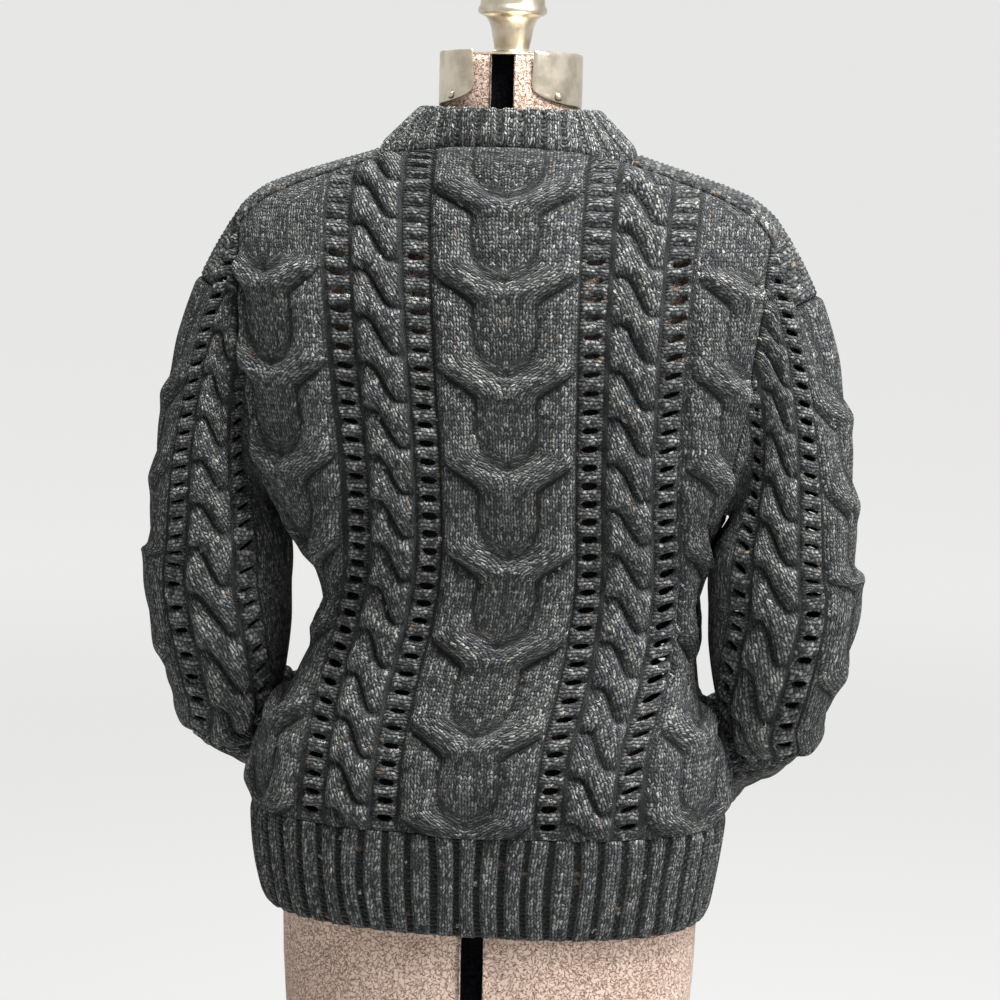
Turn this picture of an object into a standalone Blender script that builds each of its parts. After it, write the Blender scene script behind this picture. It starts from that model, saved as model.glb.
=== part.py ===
"""Cable knit pullover worn by a limbless dress form on a pole stand.

The garment's back faces -Y and its front +Y; the wearer's right sleeve is at +X.
All working sizes are millimetres; they become metres where a mesh is made.

Each knitted piece is a wall: a plain inner surface worked out from rings of
the body or of the arm, and an outer surface that carries ribs, rope cables and
horseshoe cables.  The ladder lace between the cables is cut right through.
"""

import bpy
import bmesh
import numpy as np
from math import pi, sin, cos, radians

MM = 0.001

# ---- garment sizes ----------------------------------------------------------
HEM_Z = 765.0            # lower edge of the hem rib
RIB_TOP_Z = 845.0        # where the 80 mm hem rib meets the cabled panels
UNDERARM_Z = 1080.0
CROWN_START_Z = 1180.0   # above this height the panels lean in to the shoulder
NECK_HALF_WIDTH = 97.0   # neck seam corner, on the shoulder line
BACK_NECK_Z = 1358.0
FRONT_NECK_Z = 1284.0
STRAP_HALF_WIDTH = 28.0  # saddle strap on top of the shoulder
SEAM_GAP = 0.3
WALL = 2.6               # plain knitted wall, without its cables
LACE_WALL = 2.2
INNER_SLACK = 1.8        # extra thickness of a sleeve's wall away from its seams
SECTION_POWER = 2.5      # 2 is an ellipse, more is boxier

# ---- stitch layout, distances from a panel's middle line --------------------
REPEAT = 69.0            # height of one horseshoe, two rope turns, five ladder gaps
FIRST_BEND = 3.0         # lowest horseshoe bend above the rib
HORSESHOE_HALF = 51.0
LACE_PITCH = REPEAT / 5
LACE_GAP = 4.6           # height of a ladder gap
LACE_HALF_WIDTH = 5.0
INNER_LACE = 62.0
OUTER_LACE = 120.0
ROPE_MIDDLE = 91.0
ROPE_HALF = 18.0
LAYOUT_END = OUTER_LACE + LACE_HALF_WIDTH
SIDE_HORSESHOE = 181.0
PANEL_EDGE = 250.0       # side seam in the same coordinate
SLEEVE_EDGE = 178.0      # underarm seam in the same coordinate

CABLE_RISE = 4.2
ROPE_RISE = 4.4
RIB_RISE = 2.6

# ---- form and stand sizes ---------------------------------------------------
FORM_CLEARANCE = 0.8
NECK_RADIUS = 53.0
NECK_TOP_Z = 1427.0
FORM_BOTTOM_Z = 600.0
POLE_RADIUS = 14.0
BASE_RADIUS = 190.0
BASE_HEIGHT = 22.0


def named_table(names, *rows):
    """Return a dictionary of columns from rows written in one order."""
    values = np.array(rows, float)
    return {name: values[:, i] for i, name in enumerate(names.split())}


TORSO = named_table(
    "height half_width shift back front",
    (765, 170.5, -3, 107, 111),
    (790, 176, -4, 111, 117),
    (845, 182, -3, 116, 128),
    (885, 181, -2, 118, 132),
    (910, 172, -1, 114, 128),
    (940, 155, 1, 104, 120),
    (970, 144, 6, 96, 113),
    (1000, 142, 9, 94, 111),
    (1020, 144, 10, 94, 113),
    (1045, 152, 8, 96, 118),
    (1065, 162, 4, 99, 123),
    (1080, 170, 2, 101, 126),
    (1104, 187, 0, 104, 129),
    (1168, 202, 0, 107, 131),
    (1230, 210, 0, 108, 127),
    (1290, 219, 0, 108, 118),
    (1400, 222, 0, 108, 104),
)

# Half width of the cut panel from the underarm to the strap.
ARMHOLE = named_table(
    "height edge",
    (1080, 170),
    (1092, 173),
    (1104, 177),
    (1168, 189),
    (1229, 196),
    (1300, 203),
)

# The middle line of the knitting wanders as the garment hangs.
DRIFT = named_table(
    "height sideways spread",
    (765, -6, 1.00),
    (870, -5, 1.00),
    (910, -2, 1.00),
    (950, 5, 1.02),
    (1005, 15, 0.99),
    (1040, 19, 0.97),
    (1100, 19, 0.96),
    (1175, 16, 1.00),
    (1330, 9, 1.10),
    (1400, 8, 1.12),
)

SHOULDER = named_table(
    "across ridge",
    (0, 1400),
    (60, 1370),
    (97, 1353),
    (134, 1341),
    (170, 1329),
    (190, 1320),
    (205, 1307),
    (230, 1270),
)

# Soft troughs and swells of the hanging cloth: side -1 back, +1 front.
FOLDS = named_table(
    "side across height lean length breadth depth",
    (-1, -128, 1018, 8, 34, 11, -9),
    (-1, -98, 1000, -10, 60, 22, 4),
    (-1, 22, 905, 38, 75, 17, 5),
    (-1, -28, 880, 42, 60, 15, -4),
    (-1, 118, 918, -32, 40, 14, -5),
    (-1, 128, 945, -60, 46, 14, 4),
    (-1, -150, 870, 5, 45, 18, 4),
    (1, 110, 1010, -14, 60, 18, -6),
    (1, -112, 1005, 14, 55, 18, -6),
    (1, 40, 915, -40, 80, 20, 5),
    (1, -50, 935, 40, 70, 18, 5),
)

# Rings of the sleeve below the underarm, measured on the wearer's right arm,
# and how much lower and further out the left arm's rings hang.
SLEEVE_PATH = named_table(
    "x y z half_out half_back left_drop left_out",
    (227, -3, 1070, 46.5, 56, 0, 0),
    (222, -2, 1042, 54, 56, 0, 0),
    (223, 0, 1012, 55, 54, 0, 0),
    (220, 6, 980, 51.5, 53, 3, 0),
    (217, 24, 946, 43, 52, 7, 2),
    (218, 64, 920, 33, 48, 11, 6),
    (205, 110, 894, 34, 44, 13, 6),
    (176, 152, 865, 36, 40, 10, 4),
    (135, 174, 838, 35, 37, 6, 1),
    (106, 183, 822, 33, 33, 3, 0),
    (80, 192, 807, 31, 31, 1, 0),
    (55, 198, 792, 33, 33, 0, 0),
)
CUFF_LENGTH = 60.0

# The strap's ridge past the shoulder, down to the seam on top of the sleeve.
STRAP_END = named_table(
    "across height turn",
    (205, 1307, 38),
    (216, 1291, 54),
    (227, 1272, 60),
    (237, 1252, 64),
)

# Bands of slack cloth round the elbow: distance down the sleeve, the side of
# the arm in degrees from the outer line, and size.
SLEEVE_FOLDS = named_table(
    "along around length breadth depth",
    (205, 150, 22, 60, 3.5),
    (233, 150, 18, 60, -2),
    (258, 140, 22, 60, 3.5),
    (250, 20, 24, 50, -2.5),
    (292, 160, 24, 60, 3),
    (328, 40, 24, 60, 3),
    (360, 60, 20, 50, -2),
    (120, 60, 34, 40, 1.5),
)

FORM = named_table(
    "height half_width back front",
    (600, 152, 94, 98),
    (680, 161, 100, 104),
    (765, 164.5, 103, 107),
    (840, 162, 101, 106),
    (920, 142, 86, 94),
    (985, 122, 76, 86),
    (1040, 129, 82, 98),
    (1110, 144, 91, 116),
    (1160, 153, 95, 120),
    (1220, 166, 96, 110),
    (1270, 179, 88, 92),
    (1300, 187, 76, 74),
)


def smooth_interp(at, xs, ys):
    """Cubic Hermite curve through the table's points, flat past its ends."""
    at = np.clip(np.asarray(at, float), xs[0], xs[-1])
    slopes = np.gradient(ys, xs)
    i = np.clip(np.searchsorted(xs, at, side="right") - 1, 0, len(xs) - 2)
    width = xs[i + 1] - xs[i]
    t = (at - xs[i]) / width
    return ((1 + 2 * t) * (1 - t) ** 2 * ys[i] + t * (1 - t) ** 2 * width * slopes[i]
            + t * t * (3 - 2 * t) * ys[i + 1] + t * t * (t - 1) * width * slopes[i + 1])


def torso_size(name, z):
    return smooth_interp(z, TORSO["height"], TORSO[name])


def ridge_height(x):
    return smooth_interp(np.abs(x), SHOULDER["across"], SHOULDER["ridge"])


def crown(x, z):
    """Share of the body's depth that is left at height z, 0 on the shoulder ridge."""
    t = np.clip((z - CROWN_START_Z) / (ridge_height(x) - CROWN_START_Z), 0, 1)
    return np.sqrt(1 - t ** 2.2)


def half_angle(x, z):
    """Section angle from the middle of the panel to the point at x."""
    share = np.clip(np.abs(x - torso_size("shift", z)) / torso_size("half_width", z), 0, 1)
    return np.arcsin(share ** (SECTION_POWER / 2)) * np.sign(x - torso_size("shift", z))


def fold_depth(side, x, z):
    """Sum of the soft folds at a point of one side of the body."""
    total = np.zeros(np.broadcast(x, z).shape)
    for row in zip(*FOLDS.values()):
        fold_side, across, height, lean, length, breadth, depth = row
        if fold_side != side:
            continue
        turn = radians(lean)
        along = (z - height) * cos(turn) + (x - across) * sin(turn)
        beside = (x - across) * cos(turn) - (z - height) * sin(turn)
        total = total + depth * np.exp(-(along / length) ** 2 - (beside / breadth) ** 2)
    return total


def torso_at(side, angle, z):
    """Inner surface of the body at a section angle, 0 in the middle of the side."""
    grow = 2 / SECTION_POWER
    x = torso_size("shift", z) + (torso_size("half_width", z)
                                  * np.sign(angle) * np.abs(np.sin(angle)) ** grow)
    depth = torso_size("back" if side < 0 else "front", z)
    depth = depth * np.abs(np.cos(angle)) ** grow * crown(x, z)
    return x, side * (depth + fold_depth(side, x, z) * np.abs(np.cos(angle))), z


def panel_angle(w, z):
    """Section angle of the stitch column that lies w from the middle line."""
    drift = smooth_interp(z, DRIFT["height"], DRIFT["sideways"])
    spread = smooth_interp(z, DRIFT["height"], DRIFT["spread"])
    inside = np.clip(w, -LAYOUT_END, LAYOUT_END)
    start = half_angle(drift + inside * spread, z)
    edge_x = np.interp(z, ARMHOLE["height"], ARMHOLE["edge"])
    edge = half_angle(torso_size("shift", z) * (z < UNDERARM_Z) + edge_x * np.sign(w), z)
    edge = np.where(z <= UNDERARM_Z, np.sign(w) * pi / 2, edge)
    share = np.clip((np.abs(w) - LAYOUT_END) / (PANEL_EDGE - LAYOUT_END), 0, 1)
    return start + share * (edge - start)


class Panel:
    """Surface of the back or the front, from the hem rib to shoulder and neck."""

    def __init__(self, side):
        self.side = side
        heights = np.linspace(RIB_TOP_Z, 1352, 600)
        x, y, z = torso_at(side, half_angle(np.full(600, 100.0), heights), heights)
        steps = np.hypot(np.diff(y), np.diff(z))
        self.rows = np.concatenate([[0], np.cumsum(steps)])
        self.heights = heights

    def height(self, s):
        """Height of the row that lies s above the rib; steady past the table's end."""
        over = np.maximum(s - self.rows[-1], 0) * 0.35
        return np.interp(s, self.rows, self.heights) + over

    def row(self, z):
        return np.interp(z, self.heights, self.rows)

    def inner(self, w, s):
        z = self.height(s)
        return np.array(torso_at(self.side, panel_angle(w, z), z))

    def seam_height(self, x):
        """Height of the panel's top edge: the neck seam, then the strap's edge."""
        x = min(abs(x), 203.0)
        across = max(x, NECK_HALF_WIDTH)
        strap = shoulder_height(self.side, across, STRAP_HALF_WIDTH + SEAM_GAP)
        if x >= NECK_HALF_WIDTH:
            return strap
        middle = BACK_NECK_Z if self.side < 0 else FRONT_NECK_Z
        bend = 2.0 if self.side < 0 else 2.6
        return middle + (strap - middle) * (x / NECK_HALF_WIDTH) ** bend

    def top_row(self, w):
        """Row at which the column w meets the panel's top edge."""
        low, high = 250.0, self.rows[-1] + 40
        for _ in range(40):
            middle = (low + high) / 2
            x, y, z = self.inner(w, middle)
            low, high = (middle, high) if z < self.seam_height(x) else (low, middle)
        return (low + high) / 2

    def outer(self, w, s, rise):
        return offset_point(self.inner, w, s, WALL + rise, self.side < 0)


PANELS = {}


def panel_on(side):
    """The panel of one side, worked out once."""
    if side not in PANELS:
        PANELS[side] = Panel(side)
    return PANELS[side]


def shoulder_height(side, x, y):
    """Height of the body's crown at a distance y from the shoulder ridge."""
    z = ridge_height(x)
    for _ in range(6):
        angle = half_angle(x, z)
        depth = torso_size("back" if side < 0 else "front", z)
        depth = depth * abs(cos(angle)) ** (2 / SECTION_POWER)
        share = (1 - min(y / depth, 0.999) ** 2) ** (1 / 2.2)
        z = CROWN_START_Z + share * (ridge_height(x) - CROWN_START_Z)
    return float(z)


def offset_point(surface, w, s, distance, flip):
    """Move a surface point out along its normal."""
    step = 1.0
    point = surface(w, s)
    across = surface(w + step, s) - surface(w - step, s)
    along = surface(w, s + step) - surface(w, s - step)
    normal = np.cross(across, along) * (1 if flip else -1)
    return point + normal / np.linalg.norm(normal) * distance


# ---- relief of the stitches -------------------------------------------------

def bend_height(offset):
    """How far a horseshoe's strand has climbed at a distance from its middle."""
    return 62 * sin(pi / 2 * min(abs(offset) / HORSESHOE_HALF, 1)) ** 2


def horseshoe_rise(offset, s):
    """Strand on its bend, hollow each side of it and a plump plain field between."""
    from_strand = (s - FIRST_BEND - 8 - bend_height(offset) + REPEAT / 2) % REPEAT - REPEAT / 2
    strand = np.exp(-(from_strand / 9.5) ** 2)
    field = np.clip((abs(from_strand) - 15) / 12, 0, 1)
    edge = np.clip((HORSESHOE_HALF + 2 - abs(offset)) / 8, 0, 1)
    return (CABLE_RISE * strand + 2.2 * field) * edge


def rope_phase(offset):
    """Rows between a rope's turn on its middle line and at the given offset."""
    return -1.15 * offset


def rope_rise(offset, s):
    """Plump diagonal strands that run down to the right."""
    turn = 2 * pi * (s - rope_phase(offset)) / (REPEAT / 2)
    body = np.sqrt(np.clip(1 - (offset / (ROPE_HALF + 3)) ** 2, 0, 1))
    return ROPE_RISE * body * (0.45 + 0.55 * np.cos(turn))


def column_style(w, edge, twist):
    """Kind of stitch column and its offset from the cable's middle line.

    Twist is 1 where w grows to the right seen from outside, else -1, so that
    every rope turns the same way.
    """
    position = abs(w)
    if position <= HORSESHOE_HALF:
        return "horseshoe", w
    if abs(position - ROPE_MIDDLE) <= ROPE_HALF:
        return "rope", twist * (w - np.sign(w) * ROPE_MIDDLE)
    beside = abs(position - SIDE_HORSESHOE) <= HORSESHOE_HALF
    if beside and position > LAYOUT_END and edge == PANEL_EDGE:
        return "horseshoe", position - SIDE_HORSESHOE
    return "plain", 0.0


def column_rows(w, bottom, top, spacing, edge, twist):
    """Rows of a column's points, in step with the strand that crosses it."""
    style, offset = column_style(w, edge, twist)
    phase = {"horseshoe": FIRST_BEND + 8 + bend_height(offset),
             "rope": rope_phase(offset), "plain": 0.0}[style]
    first = np.ceil((bottom + spacing * 0.4 - phase) / spacing)
    rows = phase + spacing * np.arange(first, first + 60)
    rows = rows[rows < top - spacing * 0.4]
    return np.concatenate([[bottom], rows, [top]])


def rise_at(w, s, bottom, top, edge, twist):
    """Height of the stitch relief, settled to nothing at the piece's two ends."""
    style, offset = column_style(w, edge, twist)
    settle = np.clip(min(s - bottom, top - s) / 8, 0, 1)
    if style == "horseshoe":
        return float(horseshoe_rise(offset, s) * settle)
    if style == "rope":
        return float(rope_rise(offset, s) * settle)
    return 0.4 * float(settle)


def lace_rows(bottom, top, cut_from, cut_to):
    """Rows of a ladder's two rails, and which cells between them are gaps."""
    rows, gaps = [bottom], []
    start = bottom + LACE_PITCH * 0.6
    while start < top - LACE_PITCH * 0.8:
        if cut_from <= start and start + LACE_GAP <= cut_to:
            rows += [start, start + LACE_GAP]
            gaps += [False, True]
        elif start - rows[-1] > REPEAT / 3:
            rows.append(start)
            gaps.append(False)
        start += LACE_PITCH
    return np.array(rows + [top]), gaps + [False]


# ---- mesh building ----------------------------------------------------------

def new_material(name, colour, roughness, metallic=0.0):
    material = bpy.data.materials.new(name)
    material.use_nodes = True
    shader = material.node_tree.nodes["Principled BSDF"]
    shader.inputs["Base Color"].default_value = (*colour, 1)
    shader.inputs["Roughness"].default_value = roughness
    shader.inputs["Metallic"].default_value = metallic
    material.diffuse_color = (*colour, 1)
    return material


def finish_mesh(name, bm, material, smooth_angle=50):
    """Turn a bmesh in millimetres into a named object in metres."""
    bmesh.ops.scale(bm, vec=(MM, MM, MM), verts=bm.verts)
    bmesh.ops.recalc_face_normals(bm, faces=bm.faces)
    mesh = bpy.data.meshes.new(name)
    bm.to_mesh(mesh)
    bm.free()
    mesh.shade_smooth()
    mesh.set_sharp_from_angle(angle=radians(smooth_angle))
    mesh.materials.append(material)
    piece = bpy.data.objects.new(name, mesh)
    bpy.context.scene.collection.objects.link(piece)
    return piece


def zip_strip(bm, left, left_at, right, right_at):
    """Fill between two lines of vertices with triangles, in order of position."""
    i = j = 0
    while i < len(left) - 1 or j < len(right) - 1:
        take_left = j == len(right) - 1
        if not take_left and i < len(left) - 1:
            take_left = left_at[i] + left_at[i + 1] < right_at[j] + right_at[j + 1]
        if take_left:
            bm.faces.new((left[i], left[i + 1], right[j]))
            i += 1
        else:
            bm.faces.new((left[i], right[j + 1], right[j]))
            j += 1


class Wall:
    """Two skins of stitch columns, sewn together along their edges and gaps."""

    def __init__(self):
        self.bm = bmesh.new()
        self.outer = []
        self.inner = []
        self.ladders = {}

    def add(self, skin, at, rows, points):
        verts = [self.bm.verts.new(point) for point in points]
        skin.append((at, list(rows), verts))
        return verts

    def ladder(self, index_outer, index_inner, gaps):
        """Mark the strip between two rails as a ladder with open cells."""
        self.ladders[index_outer] = (index_inner, gaps)

    def skin_faces(self, skin, marks):
        for i in range(len(skin) - 1):
            (_, left_rows, left), (_, right_rows, right) = skin[i], skin[i + 1]
            if i not in marks:
                zip_strip(self.bm, left, left_rows, right, right_rows)
                continue
            for k, open_cell in enumerate(marks[i]):
                if not open_cell:
                    self.bm.faces.new((left[k], left[k + 1], right[k + 1], right[k]))

    def close(self):
        inner_marks = {inner: gaps for inner, gaps in self.ladders.values()}
        outer_marks = {outer: gaps for outer, (_, gaps) in self.ladders.items()}
        self.skin_faces(self.outer, outer_marks)
        self.skin_faces(self.inner, inner_marks)
        for outer, (inner, gaps) in self.ladders.items():
            for k, open_cell in enumerate(gaps):
                if open_cell:
                    self.gap_rim(outer, inner, k)
        for end in (0, -1):
            edge_out, edge_in = self.outer[end], self.inner[end]
            zip_strip(self.bm, edge_out[2], edge_out[1], edge_in[2], edge_in[1])
            rim_out = [column[2][end] for column in self.outer]
            rim_in = [column[2][end] for column in self.inner]
            zip_strip(self.bm, rim_out, [column[0] for column in self.outer],
                      rim_in, [column[0] for column in self.inner])
        return self.bm

    def gap_rim(self, outer, inner, k):
        def corners(skin, i):
            left, right = skin[i][2], skin[i + 1][2]
            return [left[k], left[k + 1], right[k + 1], right[k]]
        near, far = corners(self.outer, outer), corners(self.inner, inner)
        for a in range(4):
            b = (a + 1) % 4
            self.bm.faces.new((near[a], near[b], far[b], far[a]))


def knitted_wall(point_in, point_out, top_row, outer_at, inner_at, lace_at, cut,
                 bottom, edge, edge_rows, twist):
    """Wall from stitch columns; lace_at names the middles of its ladders."""
    wall = Wall()
    rails = {}
    for middle in lace_at:
        for rail in (middle - LACE_HALF_WIDTH, middle + LACE_HALF_WIDTH):
            rails[rail] = middle

    def ladder_rows(middle):
        top = min(top_row(middle - LACE_HALF_WIDTH), top_row(middle + LACE_HALF_WIDTH))
        return lace_rows(bottom, top, *cut[middle])

    for skin, columns in ((wall.outer, outer_at), (wall.inner, inner_at)):
        for w in sorted(list(columns) + list(rails)):
            top = top_row(w)
            outside = skin is wall.outer
            if w in rails:
                rows, gaps = ladder_rows(rails[w])
                rows = np.append(rows[:-1], top)
                rise = [LACE_WALL - WALL] * len(rows)
            else:
                cabled = outside and column_style(w, edge, twist)[0] != "plain"
                beside = abs(w) > LAYOUT_END and (cabled or edge == SLEEVE_EDGE)
                spacing = REPEAT / (3 if beside else 4 if cabled else 2)
                rows = column_rows(w, bottom, top, spacing, edge, twist)
                if abs(w) == edge:
                    rows = edge_rows(w, outside)
                rise = [rise_at(w, s, bottom, top, edge, twist) for s in rows]
            if outside:
                points = [point_out(w, s, h) for s, h in zip(rows, rise)]
            else:
                points = [point_in(w, s) for s in rows]
            wall.add(skin, w, rows, points)
    places_out = [column[0] for column in wall.outer]
    places_in = [column[0] for column in wall.inner]
    for middle in lace_at:
        gaps = ladder_rows(middle)[1]
        wall.ladder(places_out.index(middle - LACE_HALF_WIDTH),
                    places_in.index(middle - LACE_HALF_WIDTH), gaps)
    return wall.close()


def ring_piece(name, rows_of_points, material, closed=True):
    """Shell lofted through rings of points; the last ring meets the first."""
    bm = bmesh.new()
    rings = [[bm.verts.new(point) for point in ring] for ring in rows_of_points]
    count = len(rings[0])
    span = count if closed else count - 1
    for i in range(len(rings)):
        ring, following = rings[i], rings[(i + 1) % len(rings)]
        for j in range(span):
            k = (j + 1) % count
            bm.faces.new((ring[j], ring[k], following[k], following[j]))
    if not closed:
        for j in (0, count - 1):
            bm.faces.new([ring[j] for ring in rings])
    return finish_mesh(name, bm, material)


# ---- body panels ------------------------------------------------------------

CAP_CORNER = INNER_LACE - LACE_HALF_WIDTH   # sleeve column at the strap's side seam
STRAP_CORNER = 27.0                         # sleeve column at the strap's end corner
CENTRE_COLUMNS = (0, 17, 37)
ROPE_COLUMNS = (ROPE_MIDDLE - 13, ROPE_MIDDLE, ROPE_MIDDLE + 13)
SIDE_COLUMNS = (146, 169, 195, 224)
INNER_COLUMNS = (0, 32, ROPE_MIDDLE, 165, 210)


SLEEVE_COLUMNS = (0, STRAP_CORNER, 42) + ROPE_COLUMNS + (145, 163, SLEEVE_EDGE)
SLEEVE_INNER_COLUMNS = (0, STRAP_CORNER, 42, ROPE_MIDDLE, 145, 163, SLEEVE_EDGE)
SLEEVE_RAILS = (INNER_LACE - LACE_HALF_WIDTH, INNER_LACE + LACE_HALF_WIDTH,
                OUTER_LACE - LACE_HALF_WIDTH, OUTER_LACE + LACE_HALF_WIDTH)
NECK_EDGES = {}                             # top edge of each panel, for the neckband


def both_sides(columns):
    return sorted({float(w) for w in columns} | {-float(w) for w in columns})


def body_panel(name, side, material, cut_inner, cut_outer):
    panel = panel_on(side)
    outer_at = both_sides(CENTRE_COLUMNS + ROPE_COLUMNS + SIDE_COLUMNS + (PANEL_EDGE,))
    inner_at = both_sides(INNER_COLUMNS + (PANEL_EDGE,))
    lace_at = both_sides((INNER_LACE, OUTER_LACE))
    cut = {w: cut_inner if abs(w) == INNER_LACE else cut_outer for w in lace_at}
    tops = {}

    def top_row(w):
        if w not in tops:
            tops[w] = panel.top_row(w)
        return tops[w]

    def on_own_side(w, point):
        """Keep the side seam's two edges half a seam gap from the middle plane."""
        if abs(w) == PANEL_EDGE:
            point[1] = side * max(side * point[1], SEAM_GAP / 2)
        return point

    def point_in(w, s):
        return on_own_side(w, panel.inner(w, s))

    def point_out(w, s, rise):
        rise = 0.0 if abs(w) == PANEL_EDGE else rise
        point = on_own_side(w, panel.outer(w, s, rise))
        if s <= SEAM_GAP:
            point[2] = RIB_TOP_Z + SEAM_GAP
        return point

    def side_rows(w, outside):
        """Side seam, then the armhole's rows where the sleeve's columns begin."""
        columns = SLEEVE_COLUMNS if outside else SLEEVE_INNER_COLUMNS
        columns = sorted(columns + SLEEVE_RAILS, reverse=True)
        shares = [(c - CAP_CORNER) / (SLEEVE_EDGE - CAP_CORNER) for c in columns]
        low, high = panel.row(UNDERARM_Z), top_row(w)
        armhole = [high + (low - high) * share for share in shares if share >= 0]
        return np.concatenate([np.arange(SEAM_GAP, low - 20, REPEAT / 2), armhole])

    bm = knitted_wall(point_in, point_out, top_row, outer_at, inner_at, lace_at, cut,
                      SEAM_GAP, PANEL_EDGE, side_rows, -side)
    rails = {w + reach for w in lace_at for reach in (-LACE_HALF_WIDTH, LACE_HALF_WIDTH)}
    NECK_EDGES[side] = [panel.inner(w, top_row(w)) for w in rails | set(inner_at)]
    return finish_mesh(name, bm, material)


def hem_half(name, side, material):
    """Rib below a panel: crests and valleys over a plain inside."""
    wall = Wall()
    ribs = 31
    top = RIB_TOP_Z - SEAM_GAP / 2
    heights = (HEM_Z, (HEM_Z + RIB_TOP_Z) / 2, top)
    for skin, count in ((wall.outer, 2 * ribs), (wall.inner, 16)):
        for i in range(count + 1):
            angle = pi * (i / count - 0.5)
            points = []
            for z in heights:
                point = np.array(torso_at(side, angle, z))
                out = -0.8
                if skin is wall.outer:
                    rise = RIB_RISE * (i % 2) * (0.55 if z in (HEM_Z, top) else 1)
                    out = WALL - 0.6 + rise
                point = point + section_normal(side, angle, z) * out
                point[1] = side * max(side * point[1], SEAM_GAP / 2)
                points.append(point)
            wall.add(skin, angle, heights, points)
    return finish_mesh(name, wall.close(), material)


def section_normal(side, angle, z):
    """Horizontal normal of the body's section."""
    step = 0.01
    low, high = max(angle - step, -pi / 2), min(angle + step, pi / 2)
    before, after = (np.array(torso_at(side, a, z)) for a in (low, high))
    along = after - before
    normal = np.array([-along[1], along[0], 0]) * side
    if abs(abs(angle) - pi / 2) < 1e-6:
        normal = np.array([np.sign(angle), 0, 0])
    return normal / np.linalg.norm(normal)


# ---- shoulder straps and neckband -------------------------------------------

def strap_line():
    """Stations along the strap: distance across and how far past the shoulder."""
    on_body = list(np.linspace(NECK_HALF_WIDTH + SEAM_GAP, 205, 7))
    return on_body + list(STRAP_END["across"][1:])


def strap_point(across, y, out=0.0):
    """Point of the strap at a distance y from its ridge, moved out by a wall."""
    side = -1 if y < 0 else 1
    turn = np.interp(across, [NECK_HALF_WIDTH, 190, 205], [18, 24, 38])
    drop = ridge_height(min(across, 203)) - shoulder_height(side, min(across, 203), abs(y))
    ridge = ridge_height(across)
    lean = 0.0
    if across > 205:
        turn = np.interp(across, STRAP_END["across"], STRAP_END["turn"])
        ridge = np.interp(across, STRAP_END["across"], STRAP_END["height"])
        lean = min((across - 205) / 11, 1) * radians(turn)
    spread = np.arctan2(y, 140)
    x = across - drop * sin(lean) + out * sin(radians(turn)) * cos(spread)
    z = ridge - drop * cos(lean) + out * cos(radians(turn)) * cos(spread)
    return np.array([x, y + out * sin(spread), z])


def strap(name, hand, material):
    offsets = (-STRAP_HALF_WIDTH, -14, 0, 14, STRAP_HALF_WIDTH)
    wall = Wall()
    for skin, out in ((wall.outer, WALL), (wall.inner, 0.0)):
        for y in offsets:
            points = [strap_point(x, y, out) * (hand, 1, 1) for x in strap_line()]
            wall.add(skin, y, strap_line(), points)
    return finish_mesh(name, wall.close(), material)


def neck_line(hand):
    """Points of the neck seam on one side of the middle, from back to front."""
    edges = []
    for side in (-1, 1):
        known = sorted((tuple(point * (hand, 1, 1)) for point in NECK_EDGES[side]))
        x, y, z = np.array(known).T
        line = [np.array([0.0, np.interp(0, x, y), np.interp(0, x, z)])]
        line += [np.array(point) for point in known if 1 < point[0] < NECK_HALF_WIDTH - 2]
        line += [strap_point(NECK_HALF_WIDTH, side * STRAP_HALF_WIDTH * share)
                 for share in (1, 0.5)]
        edges.append(line)
    return np.array(edges[0] + [strap_point(NECK_HALF_WIDTH, 0.0)] + edges[1][::-1])


def neck_seam(line, share):
    """Point of the neck seam at a share of its length from the middle of the back."""
    walked = np.concatenate([[0], np.cumsum(np.linalg.norm(np.diff(line, axis=0), axis=1))])
    return np.array([np.interp(share * walked[-1], walked, line[:, k]) for k in range(3)])


def shoulder_depth(side, x, z):
    return float(torso_at(side, half_angle(x, z), z)[1])


def neckband(name, material):
    """Ribbed band that stands up round the neck and leans in."""
    ribs = 38
    lines = {hand: neck_line(hand) for hand in (-1, 1)}
    rings = []
    for out, lift in ((1, 0), (1, 1), (0, 1), (0, 0)):
        ring = []
        for i in range(2 * ribs):
            hand = 1 if i <= ribs else -1
            share = i / ribs if hand > 0 else 2 - i / ribs
            low = neck_seam(lines[hand], share) * (hand, 1, 1)
            inward = np.array([-low[0], 4 - low[1], 0])
            inward /= np.linalg.norm(inward)
            low = low + inward * 0.3 + (0, 0, 0.6)
            turn = np.arctan2(low[0] / 63, (4 - low[1]) / 66)
            forward = np.clip(-cos(turn), 0, 1)
            top = np.array([63 * sin(turn), 4 - 66 * cos(turn), 1386 - 66 * forward ** 1.6])
            tilt = 0.65 - 0.35 * inward[0] ** 2 * (1 - lift)
            lean = np.array([0, 0, np.sqrt(1 - tilt ** 2)]) - inward * tilt
            rise = RIB_RISE * (i % 2) * (0.8 if lift else 1)
            ring.append(low + (top - low) * lift + lean * out * (WALL + rise))
        rings.append(ring)
    return ring_piece(name, rings, material)


# ---- sleeves ----------------------------------------------------------------

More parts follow.
